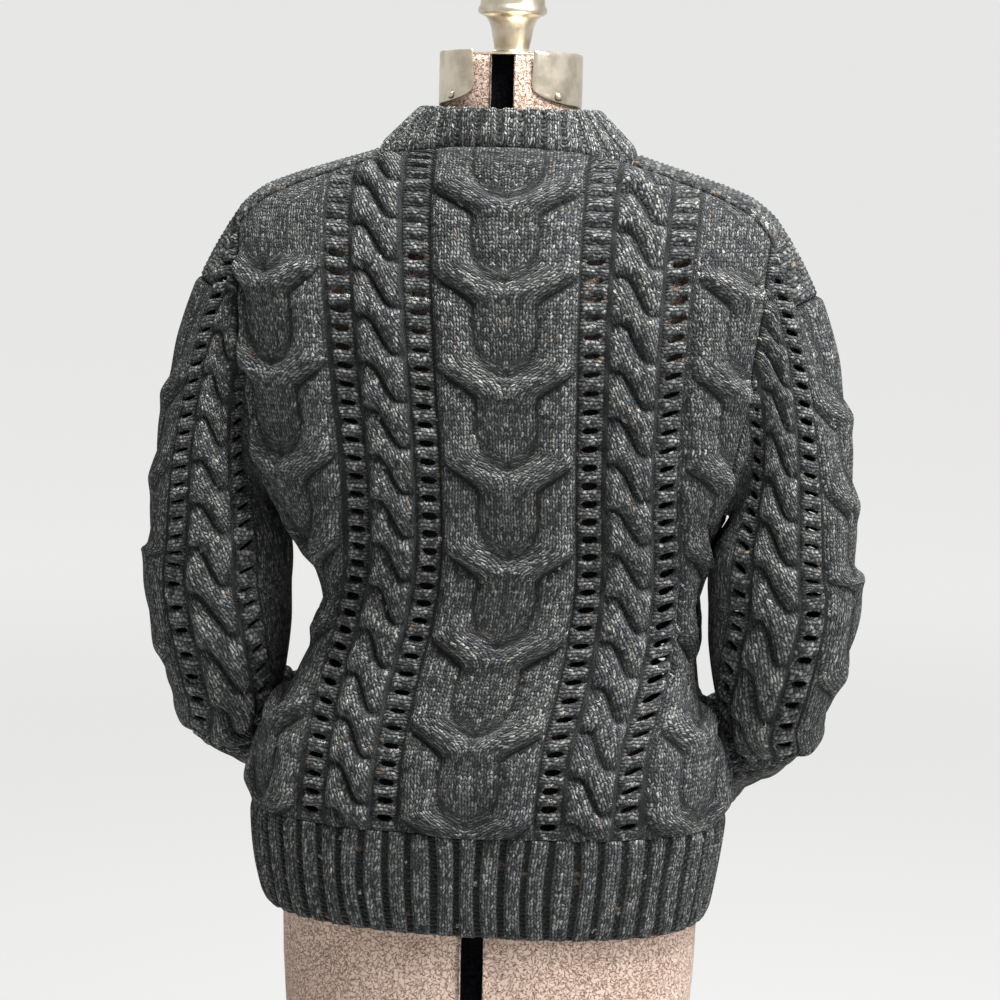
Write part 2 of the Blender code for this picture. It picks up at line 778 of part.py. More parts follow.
class Sleeve:
    """One half of a sleeve, behind or before the arm; rows count up from the cuff."""

    def __init__(self, hand, half):
        self.hand = hand
        self.half = half
        self.panel = panel_on(half)
        centres = np.column_stack([SLEEVE_PATH[name] for name in "xyz"])
        steps = np.linalg.norm(np.diff(centres, axis=0), axis=1)
        self.length_down = np.concatenate([[0], np.cumsum(steps)])
        self.total = self.length_down[-1]
        self.cap_row = self.total - CUFF_LENGTH
        self.tops = {}

    def sizes(self, down):
        sizes = {name: smooth_interp(down, self.length_down, values)
                 for name, values in SLEEVE_PATH.items()}
        if self.hand < 0:
            sizes["z"] = sizes["z"] - sizes["left_drop"]
            sizes["x"] = sizes["x"] + sizes["left_out"]
        return sizes

    def ring(self, w, down, out=0.0):
        """Point of the arm's ring at a distance down from the first full ring."""
        at, ahead, behind = (self.sizes(down + step) for step in (0, 2, -2))
        tangent = np.array([ahead[k] - behind[k] for k in "xyz"])
        tangent /= np.linalg.norm(tangent)
        back = np.array([0, -1.0, 0]) - tangent * (tangent @ [0, -1.0, 0])
        back /= np.linalg.norm(back)
        outward = np.cross(back, tangent)
        around = pi * np.sqrt((at["half_out"] ** 2 + at["half_back"] ** 2) / 2)
        fit = min(1, (around - 3) / LAYOUT_END)
        if w <= LAYOUT_END:
            turn = pi * w * fit / around
        else:
            share = (w - LAYOUT_END) / (SLEEVE_EDGE - LAYOUT_END)
            turn = pi * (LAYOUT_END * fit / around * (1 - share) + share)
        swell = out + self.fold(down, turn)
        sideways = np.array([cos(turn) * (at["half_out"] + swell),
                             sin(turn) * (at["half_back"] + swell)])
        sideways[1] = max(sideways[1], SEAM_GAP) * -self.half
        centre = np.array([at[k] for k in "xyz"])
        return centre + outward * sideways[0] + back * sideways[1]

    def fold(self, down, turn):
        degrees = -self.half * turn * 180 / pi
        total = 0.0
        for along, around, length, breadth, depth in zip(*SLEEVE_FOLDS.values()):
            apart = (degrees - around + 180) % 360 - 180
            total += depth * np.exp(-((down - along) / length) ** 2 - (apart / breadth) ** 2)
        return total

    def seam(self, w, out):
        """Armhole seam: the strap's end and side, then the panel's edge."""
        reach = STRAP_HALF_WIDTH + 5 * SEAM_GAP
        end = float(STRAP_END["across"][-1])
        if w <= STRAP_CORNER:
            y = self.half * max(w / STRAP_CORNER * reach, SEAM_GAP)
            slope = np.array([0.45, 0, -0.89]) * 2 * SEAM_GAP
            return strap_point(end, y, out) + slope
        if w < CAP_CORNER:
            across = end + (205 - end) * (w - STRAP_CORNER) / (CAP_CORNER - STRAP_CORNER)
            return strap_point(across, self.half * reach, out)
        share = (w - CAP_CORNER) / (SLEEVE_EDGE - CAP_CORNER)
        lowest, highest = self.panel.row(UNDERARM_Z), self.panel_top()
        s = highest + (lowest - highest) * share
        surface = self.panel.inner
        edge = surface(PANEL_EDGE, s)
        along = surface(PANEL_EDGE, s + 2) - edge
        normal = self.edge_normal(s)
        away = np.cross(normal, along)
        away *= np.sign(away[0]) * 3 * SEAM_GAP / np.linalg.norm(away)
        point = edge + away + normal * out + (0, max(1 - 8 * share, 0) * self.half, 0)
        if share > 0.9:
            point = point + (0, 0, (3.4 - 2.2 * out / WALL) * (share - 0.9) / 0.1)
        point[1] = self.half * max(self.half * point[1], SEAM_GAP)
        return point

    def panel_top(self):
        if "top" not in self.tops:
            self.tops["top"] = self.panel.top_row(PANEL_EDGE)
        return self.tops["top"]

    def edge_normal(self, s):
        outer = self.panel.outer(PANEL_EDGE, s, 0) - self.panel.inner(PANEL_EDGE, s)
        return outer / np.linalg.norm(outer)

    def cap_length(self, w):
        if w not in self.tops:
            self.tops[w] = 1.04 * np.linalg.norm(self.seam(w, 0) - self.ring(w, 0))
        return self.tops[w]

    def point(self, w, s, out):
        """Below the first full ring the arm's ring, above it a curve to the seam."""
        down = self.cap_row - s
        if down >= 0:
            point = self.ring(w, down, out)
        else:
            low, high = self.ring(w, 0, out), self.seam(w, out)
            length = np.linalg.norm(high - low)
            t = min(-down / self.cap_length(w), 1)
            rise = self.ring(w, 0, out) - self.ring(w, 6, out)
            armpit = np.clip((w - 140) / 27, 0, 1)
            reach = length + (18 + 0.3 * length - 4.5 * out - length) * armpit
            rise = rise / np.linalg.norm(rise) * reach
            lean = (high - low) / length + np.array([-0.55, 0, 0.8])
            over = np.array([-0.85, 0.3 * self.half * (w < SLEEVE_EDGE), -0.4])
            lean = lean / np.linalg.norm(lean) * (1 - armpit) + over * armpit
            lean = lean * reach
            point = ((1 + 2 * t) * (1 - t) ** 2 * low + t * (1 - t) ** 2 * rise
                     + t * t * (3 - 2 * t) * high + t * t * (t - 1) * lean)
        return point * (self.hand, 1, 1)

    def top_row(self, w):
        return self.cap_row + self.cap_length(w)


def sleeve_half(name, hand, half, material, cut):
    sleeve = Sleeve(hand, half)
    lace_at = (INNER_LACE, OUTER_LACE)

    def point_in(w, s):
        ends = np.clip(min(s, sleeve.top_row(w) - s) / 30, 0, 1)
        return sleeve.point(w, s, -INNER_SLACK * ends)

    def point_out(w, s, rise):
        return sleeve.point(w, s, WALL + rise)

    def underarm_rows(w, outside):
        """The short cap over the armpit has one row half way."""
        cap = np.array([0, 0.5, 1]) * sleeve.cap_length(w)
        below = np.arange(0, sleeve.cap_row - 15, REPEAT / 3)
        return np.concatenate([below, sleeve.cap_row + cap])

    bm = knitted_wall(point_in, point_out, sleeve.top_row, SLEEVE_COLUMNS,
                      SLEEVE_INNER_COLUMNS, lace_at, {w: cut for w in lace_at},
                      0.0, SLEEVE_EDGE, underarm_rows, hand * half)
    return finish_mesh(name, bm, material)


def cuff(name, hand, material):
    """Ribbed tube that carries the sleeve on to the wrist."""
    halves = Sleeve(hand, -1), Sleeve(hand, 1)
    ribs = 13
    stations = np.linspace(halves[0].cap_row + SEAM_GAP, halves[0].total, 3)
    outer, inner = [], []
    for n, down in enumerate(stations):
        ring_out, ring_in = [], []
        for i in range(2 * ribs):
            turn = 2 * pi * i / (2 * ribs)
            sleeve = halves[0] if turn <= pi else halves[1]
            w = min(turn, 2 * pi - turn) / pi * SLEEVE_EDGE
            rise = RIB_RISE * (i % 2) * (0.5 if n in (0, 2) else 1)
            ring_out.append(plain_ring(sleeve, w, down, WALL - 0.6 + rise))
            ring_in.append(plain_ring(sleeve, w, down, 0.0))
        outer.append(ring_out)
        inner.insert(0, ring_in)
    return ring_piece(name, outer + inner, material)


def plain_ring(sleeve, w, down, out):
    """Ring point spaced evenly round the wrist."""
    at = sleeve.sizes(down)
    around = pi * np.sqrt((at["half_out"] ** 2 + at["half_back"] ** 2) / 2)
    fit = min(1, (around - 3) / LAYOUT_END)
    split = LAYOUT_END * fit / around
    share = w / SLEEVE_EDGE
    if share <= split:
        w = share * around / fit
    else:
        w = LAYOUT_END + (share - split) / (1 - split) * (SLEEVE_EDGE - LAYOUT_END)
    return sleeve.ring(w, down, out) * (sleeve.hand, 1, 1)


# ---- dress form and stand ---------------------------------------------------

def form_rings():
    """Heights, half widths, back and front depths of the form from hip to neck."""
    rings = []
    for z in (600, 606, 680, 765, 850, 920, 985, 1040, 1110, 1160, 1220, 1270, 1300):
        rings.append((z, *(float(smooth_interp(z, FORM["height"], FORM[k]))
                           for k in ("half_width", "back", "front"))))
    ridge_x = np.linspace(NECK_HALF_WIDTH, 192, 60)
    ridge_z = ridge_height(ridge_x) - FORM_CLEARANCE
    for z, back, front in ((1318, 68, 62), (1330, 63, 56), (1341, 58, 52), (1350, 54, 51)):
        half = float(np.interp(z, ridge_z[::-1], ridge_x[::-1])) - 1.5
        rings.append((z, half, back, front))
    rings += [(1359, 77, 52, 51), (1368, 60, 52, 52),
              (1378, NECK_RADIUS, NECK_RADIUS, NECK_RADIUS),
              (NECK_TOP_Z, NECK_RADIUS, NECK_RADIUS, NECK_RADIUS)]
    return rings


def under_cloth(x, y, z, clearance=4.8):
    """Draw a point of the form in to stay under the panels of the shoulder."""
    if z < 1150 or z > 1352 or abs(x) < 1:
        return y
    side = -1 if y < 0 else 1
    room = abs(shoulder_depth(side, x, z)) - clearance
    return side * min(abs(y), max(room, 0.4))


def dress_form(name, material, slot_half=8.5, slot_depth=9.0, segments=22):
    """Smooth limbless body with the open seam down the middle of its back."""
    bm = bmesh.new()
    rings = []
    for z, half, back, front in form_rings():
        if z == FORM_BOTTOM_Z:
            half, back, front = half - 5, back - 5, front - 5
        grow = 2 / (2.35 if z < 1330 else 2.1 if z < 1372 else 2.0)
        ring = []
        for i in range(1, segments - 1):
            turn = 2 * pi * (i + 0.5) / segments
            x = half * np.sign(sin(turn)) * abs(sin(turn)) ** grow
            depth = back if cos(turn) > 0 else front
            y = -depth * np.sign(cos(turn)) * abs(cos(turn)) ** grow
            ring.append((x, under_cloth(x, y, z), z))
        slot_y = under_cloth(slot_half, -back + 0.4, z)
        right_lip = [(slot_half, slot_y + slot_depth, z), (slot_half, slot_y, z)]
        left_lip = [(-slot_half, slot_y, z), (-slot_half, slot_y + slot_depth, z)]
        ring = right_lip + ring + left_lip
        rings.append([bm.verts.new(point) for point in ring])
    for low, high in zip(rings, rings[1:]):
        for j in range(len(low)):
            k = (j + 1) % len(low)
            bm.faces.new((low[j], low[k], high[k], high[j]))
    bm.faces.new(rings[0])
    bm.faces.new(rings[-1])
    return finish_mesh(name, bm, material, 40)


def turned(name, profile, segments, material, smooth_angle=40):
    """Solid of revolution about the form's middle line, from (radius, height) pairs."""
    bm = bmesh.new()
    rings = []
    for radius, z in profile:
        if radius == 0:
            rings.append([bm.verts.new((0, 0, z))])
            continue
        angles = 2 * pi * np.arange(segments) / segments
        rings.append([bm.verts.new((radius * cos(a), radius * sin(a), z)) for a in angles])
    for low, high in zip(rings, rings[1:]):
        for j in range(segments):
            k = (j + 1) % segments
            corners = [low[j % len(low)], low[k % len(low)],
                       high[k % len(high)], high[j % len(high)]]
            unique = [v for n, v in enumerate(corners) if v not in corners[:n]]
            bm.faces.new(unique)
    for ring in (rings[0], rings[-1]):
        if len(ring) > 1:
            bm.faces.new(ring)
    return finish_mesh(name, bm, material, smooth_angle)


def neck_plate(name, hand, material, reach=66, straight=23, drop=16, thickness=1.2):
    """Sheet metal tab with a rounded lower edge, bent round the side of the neck."""
    rings = []
    steps = 10
    for lift, out in ((0, 0), (1, 0), (1, 1), (0, 1)):
        line = []
        for i in range(steps + 1):
            across = 2 * i / steps - 1
            turn = radians(reach * across)
            low = drop * max(1 - across ** 2, 0) ** 0.5
            z = NECK_TOP_Z + 3 if lift else NECK_TOP_Z - straight - low
            radius = NECK_RADIUS + 0.6 + thickness * out
            line.append((hand * radius * cos(turn), radius * sin(turn), z))
        rings.append(line)
    return ring_piece(name, rings, material, closed=False)


def rivet(name, hand, degrees, z, material, radius=3.4, height=2.0):
    """Domed rivet head on a neck plate."""
    centre = NECK_RADIUS + 0.6 + 1.2 + 0.3
    turn = radians(degrees)
    bm = bmesh.new()
    bmesh.ops.create_uvsphere(bm, u_segments=8, v_segments=6, radius=radius)
    bmesh.ops.bisect_plane(bm, geom=bm.verts[:] + bm.edges[:] + bm.faces[:],
                           plane_co=(0, 0, 0.2), plane_no=(0, 0, -1), clear_outer=True)
    bmesh.ops.holes_fill(bm, edges=[e for e in bm.edges if e.is_boundary])
    out = np.array([hand * cos(turn), sin(turn), 0])
    side = np.array([-out[1], out[0], 0])
    for v in bm.verts:
        local = v.co.copy()
        lift = local.z * height / radius - 0.2 * height / radius
        v.co = centre * out + local.x * side + lift * out + (0, 0, z + local.y)
    return finish_mesh(name, bm, material)


def main():
    for item in list(bpy.data.objects):
        bpy.data.objects.remove(item, do_unlink=True)

    yarn = new_material("charcoal_tweed_yarn", (0.07, 0.072, 0.075), 0.95)
    cover = new_material("boucle_cover", (0.55, 0.42, 0.35), 0.9)
    nickel = new_material("nickel_plate", (0.72, 0.68, 0.6), 0.3, 1.0)
    stand = new_material("dark_painted_iron", (0.04, 0.04, 0.045), 0.45, 0.3)

    body_panel("back", -1, yarn, (8, 457), (8, 457))
    body_panel("front", 1, yarn, (155, 408), (155, 408))
    hem_half("hem_back", -1, yarn)
    hem_half("hem_front", 1, yarn)
    neckband("neckband", yarn)
    for hand, word in ((1, "right"), (-1, "left")):
        strap(f"shoulder_strap_{word}", hand, yarn)
        sleeve_half(f"sleeve_{word}_rear", hand, -1, yarn, (205, 350))
        sleeve_half(f"sleeve_{word}_fore", hand, 1, yarn, (205, 350))
        cuff(f"cuff_{word}", hand, yarn)
        neck_plate(f"neck_plate_{word}", hand, nickel)
        for edge, degrees in (("rear", -42), ("fore", 42)):
            rivet(f"rivet_{word}_{edge}", hand, degrees, NECK_TOP_Z - 30, nickel)

    dress_form("form_body", cover)
    cap_z = NECK_TOP_Z + 0.3
    turned("neck_cap", [(NECK_RADIUS - 3, cap_z), (NECK_RADIUS - 3, cap_z + 1.6)], 24, nickel)
    knob_z = cap_z + 1.9
    turned("top_knob", [(15, knob_z), (15, knob_z + 1.6), (13.3, knob_z + 3),
                        (15.2, knob_z + 13), (17.9, knob_z + 24), (25, knob_z + 29.2),
                        (26.4, knob_z + 31), (26.4, knob_z + 33.5), (24.6, knob_z + 37),
                        (24.6, knob_z + 54), (20, knob_z + 61), (11, knob_z + 66),
                        (0, knob_z + 67)], 14, nickel)
    turned("stand_pole", [(POLE_RADIUS, BASE_HEIGHT + 0.3),
                          (POLE_RADIUS, FORM_BOTTOM_Z - 0.3)], 14, stand)
    turned("stand_base", [(BASE_RADIUS - 3, 0), (BASE_RADIUS, 3), (BASE_RADIUS, 9),
                          (BASE_RADIUS - 14, 15), (40, BASE_HEIGHT), (0, BASE_HEIGHT)],
           26, stand)


main()
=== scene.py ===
# Cable knit pullover on a limbless dress form: knitted surfaces, cover, metalwork and stage
# Working sizes are millimetres, made metres where a mesh is written
import numpy as np
import bmesh
import bpy
from mathutils import Matrix, Vector


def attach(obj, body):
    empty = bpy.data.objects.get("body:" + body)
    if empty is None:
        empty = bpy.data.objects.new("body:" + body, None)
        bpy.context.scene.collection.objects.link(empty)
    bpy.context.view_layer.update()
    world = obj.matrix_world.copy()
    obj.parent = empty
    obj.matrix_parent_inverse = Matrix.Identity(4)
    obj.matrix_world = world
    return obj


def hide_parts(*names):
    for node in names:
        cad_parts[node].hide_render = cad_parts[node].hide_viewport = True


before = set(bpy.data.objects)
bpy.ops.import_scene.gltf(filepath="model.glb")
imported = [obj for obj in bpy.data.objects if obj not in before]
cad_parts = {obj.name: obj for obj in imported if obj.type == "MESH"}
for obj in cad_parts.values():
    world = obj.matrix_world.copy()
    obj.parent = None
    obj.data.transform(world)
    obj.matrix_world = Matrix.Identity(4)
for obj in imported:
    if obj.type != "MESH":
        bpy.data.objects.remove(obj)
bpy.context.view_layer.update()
mm = 0.001
print("frame loaded:", len(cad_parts), "nodes")

# Camera, light and floor

cameraSet = dict(azimuth=7.0, elevation=8.0, roll=1.5, aimHeight=1.085, distance=2.2,
                 pictureWidth=0.78, sensor=36.0)


def addCamera():
    # looks at a point on the form's middle line, turned a little clockwise
    az, el, roll = np.radians([cameraSet[k] for k in ("azimuth", "elevation", "roll")])
    back = Vector((np.sin(az) * np.cos(el), -np.cos(az) * np.cos(el), np.sin(el)))
    right = Vector((0, 0, 1)).cross(back).normalized()
    up = back.cross(right)
    rightTurned = right * np.cos(roll) + up * np.sin(roll)
    upTurned = up * np.cos(roll) - right * np.sin(roll)
    data = bpy.data.cameras.new("camera")
    data.sensor_width = cameraSet["sensor"]
    data.lens = cameraSet["sensor"] * cameraSet["distance"] / cameraSet["pictureWidth"]
    camera = bpy.data.objects.new("camera", data)
    bpy.context.scene.collection.objects.link(camera)
    turn = Matrix((rightTurned, upTurned, back)).transposed().to_4x4()
    spot = Vector((0, 0, cameraSet["aimHeight"])) + back * cameraSet["distance"]
    camera.matrix_world = Matrix.Translation(spot) @ turn
    bpy.context.scene.camera = camera


lightSet = dict(background=0.80, fill=0.13, room=(1.0, 0.998, 0.992, 1),
                floorColour=(0.42, 0.42, 0.415, 1), floorRadius=60.0, floorSides=96,
                glowFrom=-3.5, glowTo=6.6, farGlow=0.745)
# name, place, aim, size, power and colour of each lamp
softboxes = [("overheadSoftbox", (0.75, -0.74, 3.4), (0, -0.05, 1.1), 1.1, 150.0,
              (1.0, 0.99, 0.97)),
             ("sideSoftbox", (2.7, -1.35, 2.4), (0, 0, 1.1), 1.1, 46.0, (0.96, 0.98, 1.0)),
             ("backSoftbox", (-0.3, 2.2, 3.0), (0, 0, 1.1), 1.6, 48.0, (1.0, 1.0, 1.0))]


def addAreaLight(name, spot, aim, size, power, colour):
    # a square lamp turned to face its aim
    data = bpy.data.lights.new(name, "AREA")
    data.shape = "SQUARE"
    data.size = size
    data.energy = power
    data.color = colour
    lamp = bpy.data.objects.new(name, data)
    bpy.context.scene.collection.objects.link(lamp)
    lamp.location = spot
    lamp.rotation_euler = (Vector(aim) - Vector(spot)).to_track_quat("-Z", "Y").to_euler()


def addStage():
    # a pale room: what the lens sees is brighter than what the room throws on the cloth
    world = bpy.data.worlds.new("paleRoom")
    bpy.context.scene.world = world
    world.use_nodes = True
    n = Nodes(world.node_tree)
    sky = world.node_tree.nodes["Background"]
    path = n.add("ShaderNodeLightPath")
    seen = n.math("MAXIMUM", path.outputs["Is Camera Ray"], path.outputs["Is Glossy Ray"])
    n.put(sky.inputs["Strength"], n.blend(seen, lightSet["fill"], lightSet["background"]))
    sky.inputs["Color"].default_value = lightSet["room"]
    for row in softboxes:
        addAreaLight(*row)
    sides = lightSet["floorSides"]
    turns = np.linspace(0, 2 * np.pi, sides, endpoint=False)
    ring = np.column_stack([np.cos(turns), np.sin(turns), 0 * turns])
    mesh = bpy.data.meshes.new("floor")
    mesh.from_pydata((ring * lightSet["floorRadius"]).tolist(), [], [list(range(sides))])
    floor = bpy.data.objects.new("floor", mesh)
    bpy.context.scene.collection.objects.link(floor)
    material, shader, n, place = newMaterial("paleFloor", roughness=0.9, specular=0.0)
    shader.inputs["Base Color"].default_value = lightSet["floorColour"]
    shader.inputs["Emission Color"].default_value = lightSet["room"]
    away = n.add("ShaderNodeVectorMath", operation="LENGTH")
    n.put(away.inputs[0], place)
    glow = n.step(away.outputs["Value"], lightSet["glowFrom"], lightSet["glowTo"])
    n.put(shader.inputs["Emission Strength"], n.times(glow, lightSet["farGlow"]))
    mesh.materials.append(material)


# Node helpers

class Nodes:
    # short calls for building a material's nodes
    def __init__(self, tree):
        self.tree = tree

    def add(self, kind, **settings):
        node = self.tree.nodes.new(kind)
        for key, value in settings.items():
            setattr(node, key, value)
        return node

    def put(self, socket, value):
        # links another node's output, or sets a plain value
        if isinstance(value, bpy.types.NodeSocket):
            self.tree.links.new(value, socket)
        else:
            socket.default_value = value

    def math(self, operation, a, b=0.0, c=0.0):
        # one arithmetic step on numbers or sockets
        node = self.add("ShaderNodeMath", operation=operation)
        for socket, value in zip(node.inputs, (a, b, c)):
            self.put(socket, value)
        return node.outputs[0]

    def plus(self, *terms):
        # sum of any number of terms
        total = terms[0]
        for term in terms[1:]:
            total = self.math("ADD", total, term)
        return total

    def times(self, a, b):
        return self.math("MULTIPLY", a, b)

    def scaled(self, value, factor, offset):
        # value times factor, then the offset added
        return self.math("MULTIPLY_ADD", value, factor, offset)

    def arch(self, value):
        # 1 less the square, not under 0
        return self.math("MAXIMUM", self.math("SUBTRACT", 1.0, self.times(value, value)), 0.0)

    def parts(self, vector, kind="ShaderNodeSeparateXYZ"):
        # the three numbers of a vector or colour
        node = self.add(kind)
        self.put(node.inputs[0], vector)
        return node.outputs

    def attribute(self, name):
        return self.add("ShaderNodeAttribute", attribute_name=name).outputs["Fac"]

    def mix(self, share, a, b, blend="MIX"):
        # a where share is 0, b where it is 1, for colours
        node = self.add("ShaderNodeMix", data_type="RGBA", blend_type=blend)
        self.put(node.inputs[0], share)
        for socket, value in ((node.inputs[6], a), (node.inputs[7], b)):
            self.put(socket, (*value, 1) if isinstance(value, tuple) else value)
        return node.outputs[2]

    def blend(self, share, a, b):
        # a where share is 0, b where it is 1, for plain numbers
        node = self.add("ShaderNodeMix", data_type="FLOAT")
        for socket, value in zip((node.inputs[0], node.inputs[2], node.inputs[3]), (share, a, b)):
            self.put(socket, value)
        return node.outputs[0]

    def ramp(self, value, *stops):
        # colours at given places along 0 to 1, straight between
        node = self.add("ShaderNodeValToRGB")
        marks = node.color_ramp.elements
        for n, (place, colour) in enumerate(stops):
            mark = marks[n] if n < 2 else marks.new(place)
            mark.position = place
            mark.color = (*colour, 1)
        self.put(node.inputs[0], value)
        return node.outputs[0]

    def noise(self, vector, scale, detail=2.0, roughness=0.5, distortion=0.0):
        # soft random field, scale cells a metre
        node = self.add("ShaderNodeTexNoise")
        self.put(node.inputs["Vector"], vector)
        for key, value in (("Scale", scale), ("Detail", detail), ("Roughness", roughness),
                           ("Distortion", distortion)):
            node.inputs[key].default_value = value
        return node.outputs[0]

    def step(self, value, low, high):
        # 0 below low, 1 above high, smooth between
        node = self.add("ShaderNodeMapRange", interpolation_type="SMOOTHSTEP")
        for socket, number in zip(node.inputs, (value, low, high, 0.0, 1.0)):
            self.put(socket, number)
        return node.outputs[0]

    def bump(self, height, distance, strength=1.0, normal=None):
        # tilts the normal by the slope of a height field
        node = self.add("ShaderNodeBump")
        node.inputs["Strength"].default_value = strength
        node.inputs["Distance"].default_value = distance
        self.put(node.inputs["Height"], height)
        if normal is not None:
            self.put(node.inputs["Normal"], normal)
        return node.outputs[0]


def newMaterial(name, roughness=0.5, metallic=0.0, specular=0.5, sheen=0.0):
    # the material, its shader, a node builder and the object's own coordinates
    material = bpy.data.materials.new(name)
    material.use_nodes = True
    shader = material.node_tree.nodes["Principled BSDF"]
    for socket, value in (("Roughness", roughness), ("Metallic", metallic),
                          ("Specular IOR Level", specular), ("Sheen Weight", sheen)):
        shader.inputs[socket].default_value = value
    n = Nodes(material.node_tree)
    return material, shader, n, n.add("ShaderNodeTexCoord").outputs["Object"]


# Materials

yarnSet = dict(black=(0.008, 0.0095, 0.012), dark=(0.038, 0.041, 0.044),
               middle=(0.125, 0.132, 0.127), light=(0.30, 0.31, 0.295),
               fleck=(0.80, 0.78, 0.72), warm=(0.28, 0.20, 0.13), sheenTint=(0.55, 0.57, 0.6, 1),
               legSlant=1.1, legHalf=0.24, stitchDepth=0.0024, fuzzDepth=0.0010,
               slowWander=150.0, quickWander=420.0, halvesMeet=0.008,
               neppFrom=0.981, threadFrom=0.988)
# painted shade and painted highlight by how sunk or raised the cloth is: its least, then lift from,
# lift to and what it adds; the last step paints the neckband lighter
paintedShadeFloor = 0.04
paintedShadeSteps = [(-0.95, 0.05, 0.86), (0.0, 0.7, 0.45), (1.0, 1.6, 0.6)]


def makeYarn(name="tweedYarn"):
    # V stitches and purl rows come from the stitch map: x counts columns, y counts rows
    material, shader, n, place = newMaterial(name, roughness=0.95, specular=0.12, sheen=0.25)
    y = yarnSet
    shader.inputs["Sheen Roughness"].default_value = 0.6
    shader.inputs["Sheen Tint"].default_value = y["sheenTint"]
    stitches = n.parts(n.add("ShaderNodeUVMap", uv_map="stitches").outputs[0])
    knit, lift = n.attribute("knit"), n.attribute("lift")
    wander = n.plus(n.scaled(n.noise(place, y["slowWander"], 1.0), 1.5, -0.75),
                    n.scaled(n.noise(place, y["quickWander"], 1.0), 0.8, -0.4))
    column = n.plus(stitches[0], n.times(wander, 0.35))
    row = n.plus(stitches[1], wander)

    # knit: two slanted legs a column, from |x| distance and a sheared row
    aside = n.math("ABSOLUTE", n.math("SUBTRACT", n.math("FRACT", column), 0.5))
    sheared = n.math("SUBTRACT", row, n.times(aside, y["legSlant"]))
    legAcross = n.arch(n.math("DIVIDE", n.math("SUBTRACT", aside, 0.25), y["legHalf"]))
    legAlong = n.arch(n.scaled(n.math("FRACT", sheared), 2.0, -1.0))
    knitHeight = n.math("POWER", n.times(legAcross, legAlong), 0.7)

    # purl: rows of short humps, every other row half a stitch aside
    humps = n.plus(column, n.times(n.math("FLOOR", row), 0.5))
    hump = n.math("ABSOLUTE", n.math("SINE", n.times(humps, np.pi)))
    purlAlong = n.arch(n.scaled(n.math("FRACT", row), 2.0, -1.0))
    height = n.blend(knit, n.times(purlAlong, n.scaled(hump, 0.75, 0.25)), knitHeight)

    # each leg of yarn has its own tone, a few hold a pale nepp or a warm thread
    side = n.math("GREATER_THAN", n.math("FRACT", column), 0.5)
    leg = n.scaled(n.math("FLOOR", column), 2.0, side)
    cell = n.add("ShaderNodeCombineXYZ")
    n.put(cell.inputs[0], n.blend(knit, n.math("FLOOR", humps), leg))
    n.put(cell.inputs[1], n.math("FLOOR", n.blend(knit, row, sheared)))
    n.put(cell.inputs[2], n.math("GREATER_THAN", n.parts(place)[0], y["halvesMeet"]))
    chance = n.add("ShaderNodeTexWhiteNoise", noise_dimensions="3D")
    n.put(chance.inputs["Vector"], cell.outputs[0])
    tones = n.parts(chance.outputs["Color"], "ShaderNodeSeparateColor")
    fibre = n.noise(place, 950.0, 3.0, 0.7)
    heather = n.plus(n.times(tones[0], 0.42), n.times(fibre, 0.66),
                     n.times(n.noise(place, 430.0, 2.0, 0.6), 0.24),
                     n.times(n.noise(place, 30.0, 2.0), 0.12))
    colour = n.ramp(heather, (0.47, y["black"]), (0.61, y["dark"]), (0.76, y["middle"]),
                    (1.0, y["light"]))
    # painted shade in hollows, along seams and on turned-in rims, painted highlight on crests and
    # over the neckband, all from the lift attribute
    shadeAndHighlight = n.plus(paintedShadeFloor, *[n.times(n.step(lift, low, high), share)
                                 for low, high, share in paintedShadeSteps])
    # painted shade between stitch legs: the colour is multiplied by the stitch height, near black
    # in the gaps
    colour = n.mix(1.0, colour, n.times(n.scaled(height, 1.5, 0.03), shadeAndHighlight), "MULTIPLY")
    for tone, least, low, high, share, tint in (
            (tones[1], y["neppFrom"], 0.44, 0.58, 0.85, y["fleck"]),
            (tones[2], y["threadFrom"], 0.42, 0.55, 0.7, y["warm"])):
        spot = n.times(n.math("GREATER_THAN", tone, least), n.step(fibre, low, high))
        colour = n.mix(n.times(spot, share), colour, tint)
    n.put(shader.inputs["Base Color"], colour)
    fuzz = n.bump(fibre, y["fuzzDepth"], 0.9)
    n.put(shader.inputs["Normal"], n.bump(height, y["stitchDepth"], 1.0, fuzz))
    return material


coverSet = dict(groove=(0.25, 0.15, 0.115), loop=(0.79, 0.565, 0.45), light=(0.95, 0.745, 0.62),
                unlit=(0.006, 0.0055, 0.006), loopSize=330.0, depth=0.0012)


def makeCover():
    # crepe of short bent loops: fine grooves run where a bent noise crosses its middle
    material, shader, n, place = newMaterial("boucleCover", roughness=0.95, specular=0.12,
                                             sheen=0.2)
    first = n.noise(place, coverSet["loopSize"], 1.0, 0.5, 0.6)
    second = n.noise(place, coverSet["loopSize"] * 1.7, 2.0, 0.6)
    apart = n.math("ABSOLUTE", n.math("SUBTRACT", first, 0.5))
    loops = n.scaled(n.step(apart, 0.004, 0.085), 0.62, n.times(second, 0.55))
    colour = n.ramp(loops, (0.20, coverSet["groove"]), (0.62, coverSet["loop"]),
                    (1.0, coverSet["light"]))
    cloud = n.ramp(n.noise(place, 22.0, 2.0), (0.3, (0.84, 0.82, 0.82)), (0.7, (1, 1, 1)))
    colour = n.mix(1.0, colour, cloud, "MULTIPLY")
    # painted shade: the cover turns near black where its lift is negative, which is under the
    # sweater
    colour = n.mix(n.times(n.attribute("lift"), -1.0), colour, coverSet["unlit"])
    n.put(shader.inputs["Base Color"], colour)
    n.put(shader.inputs["Normal"], n.bump(loops, coverSet["depth"]))
    return material


def makeSlotShade():
    # painted shade: near-black faces inside the form's open seam
    material, shader, n, place = newMaterial("slotLining", roughness=1.0, specular=0.0)
    slotShadeNoise = n.noise(place, 500.0, 3.0)
    n.put(shader.inputs["Base Color"], n.ramp(slotShadeNoise, (0.4, (0.003, 0.003, 0.004)),
                                              (0.8, (0.012, 0.012, 0.014))))
    return material


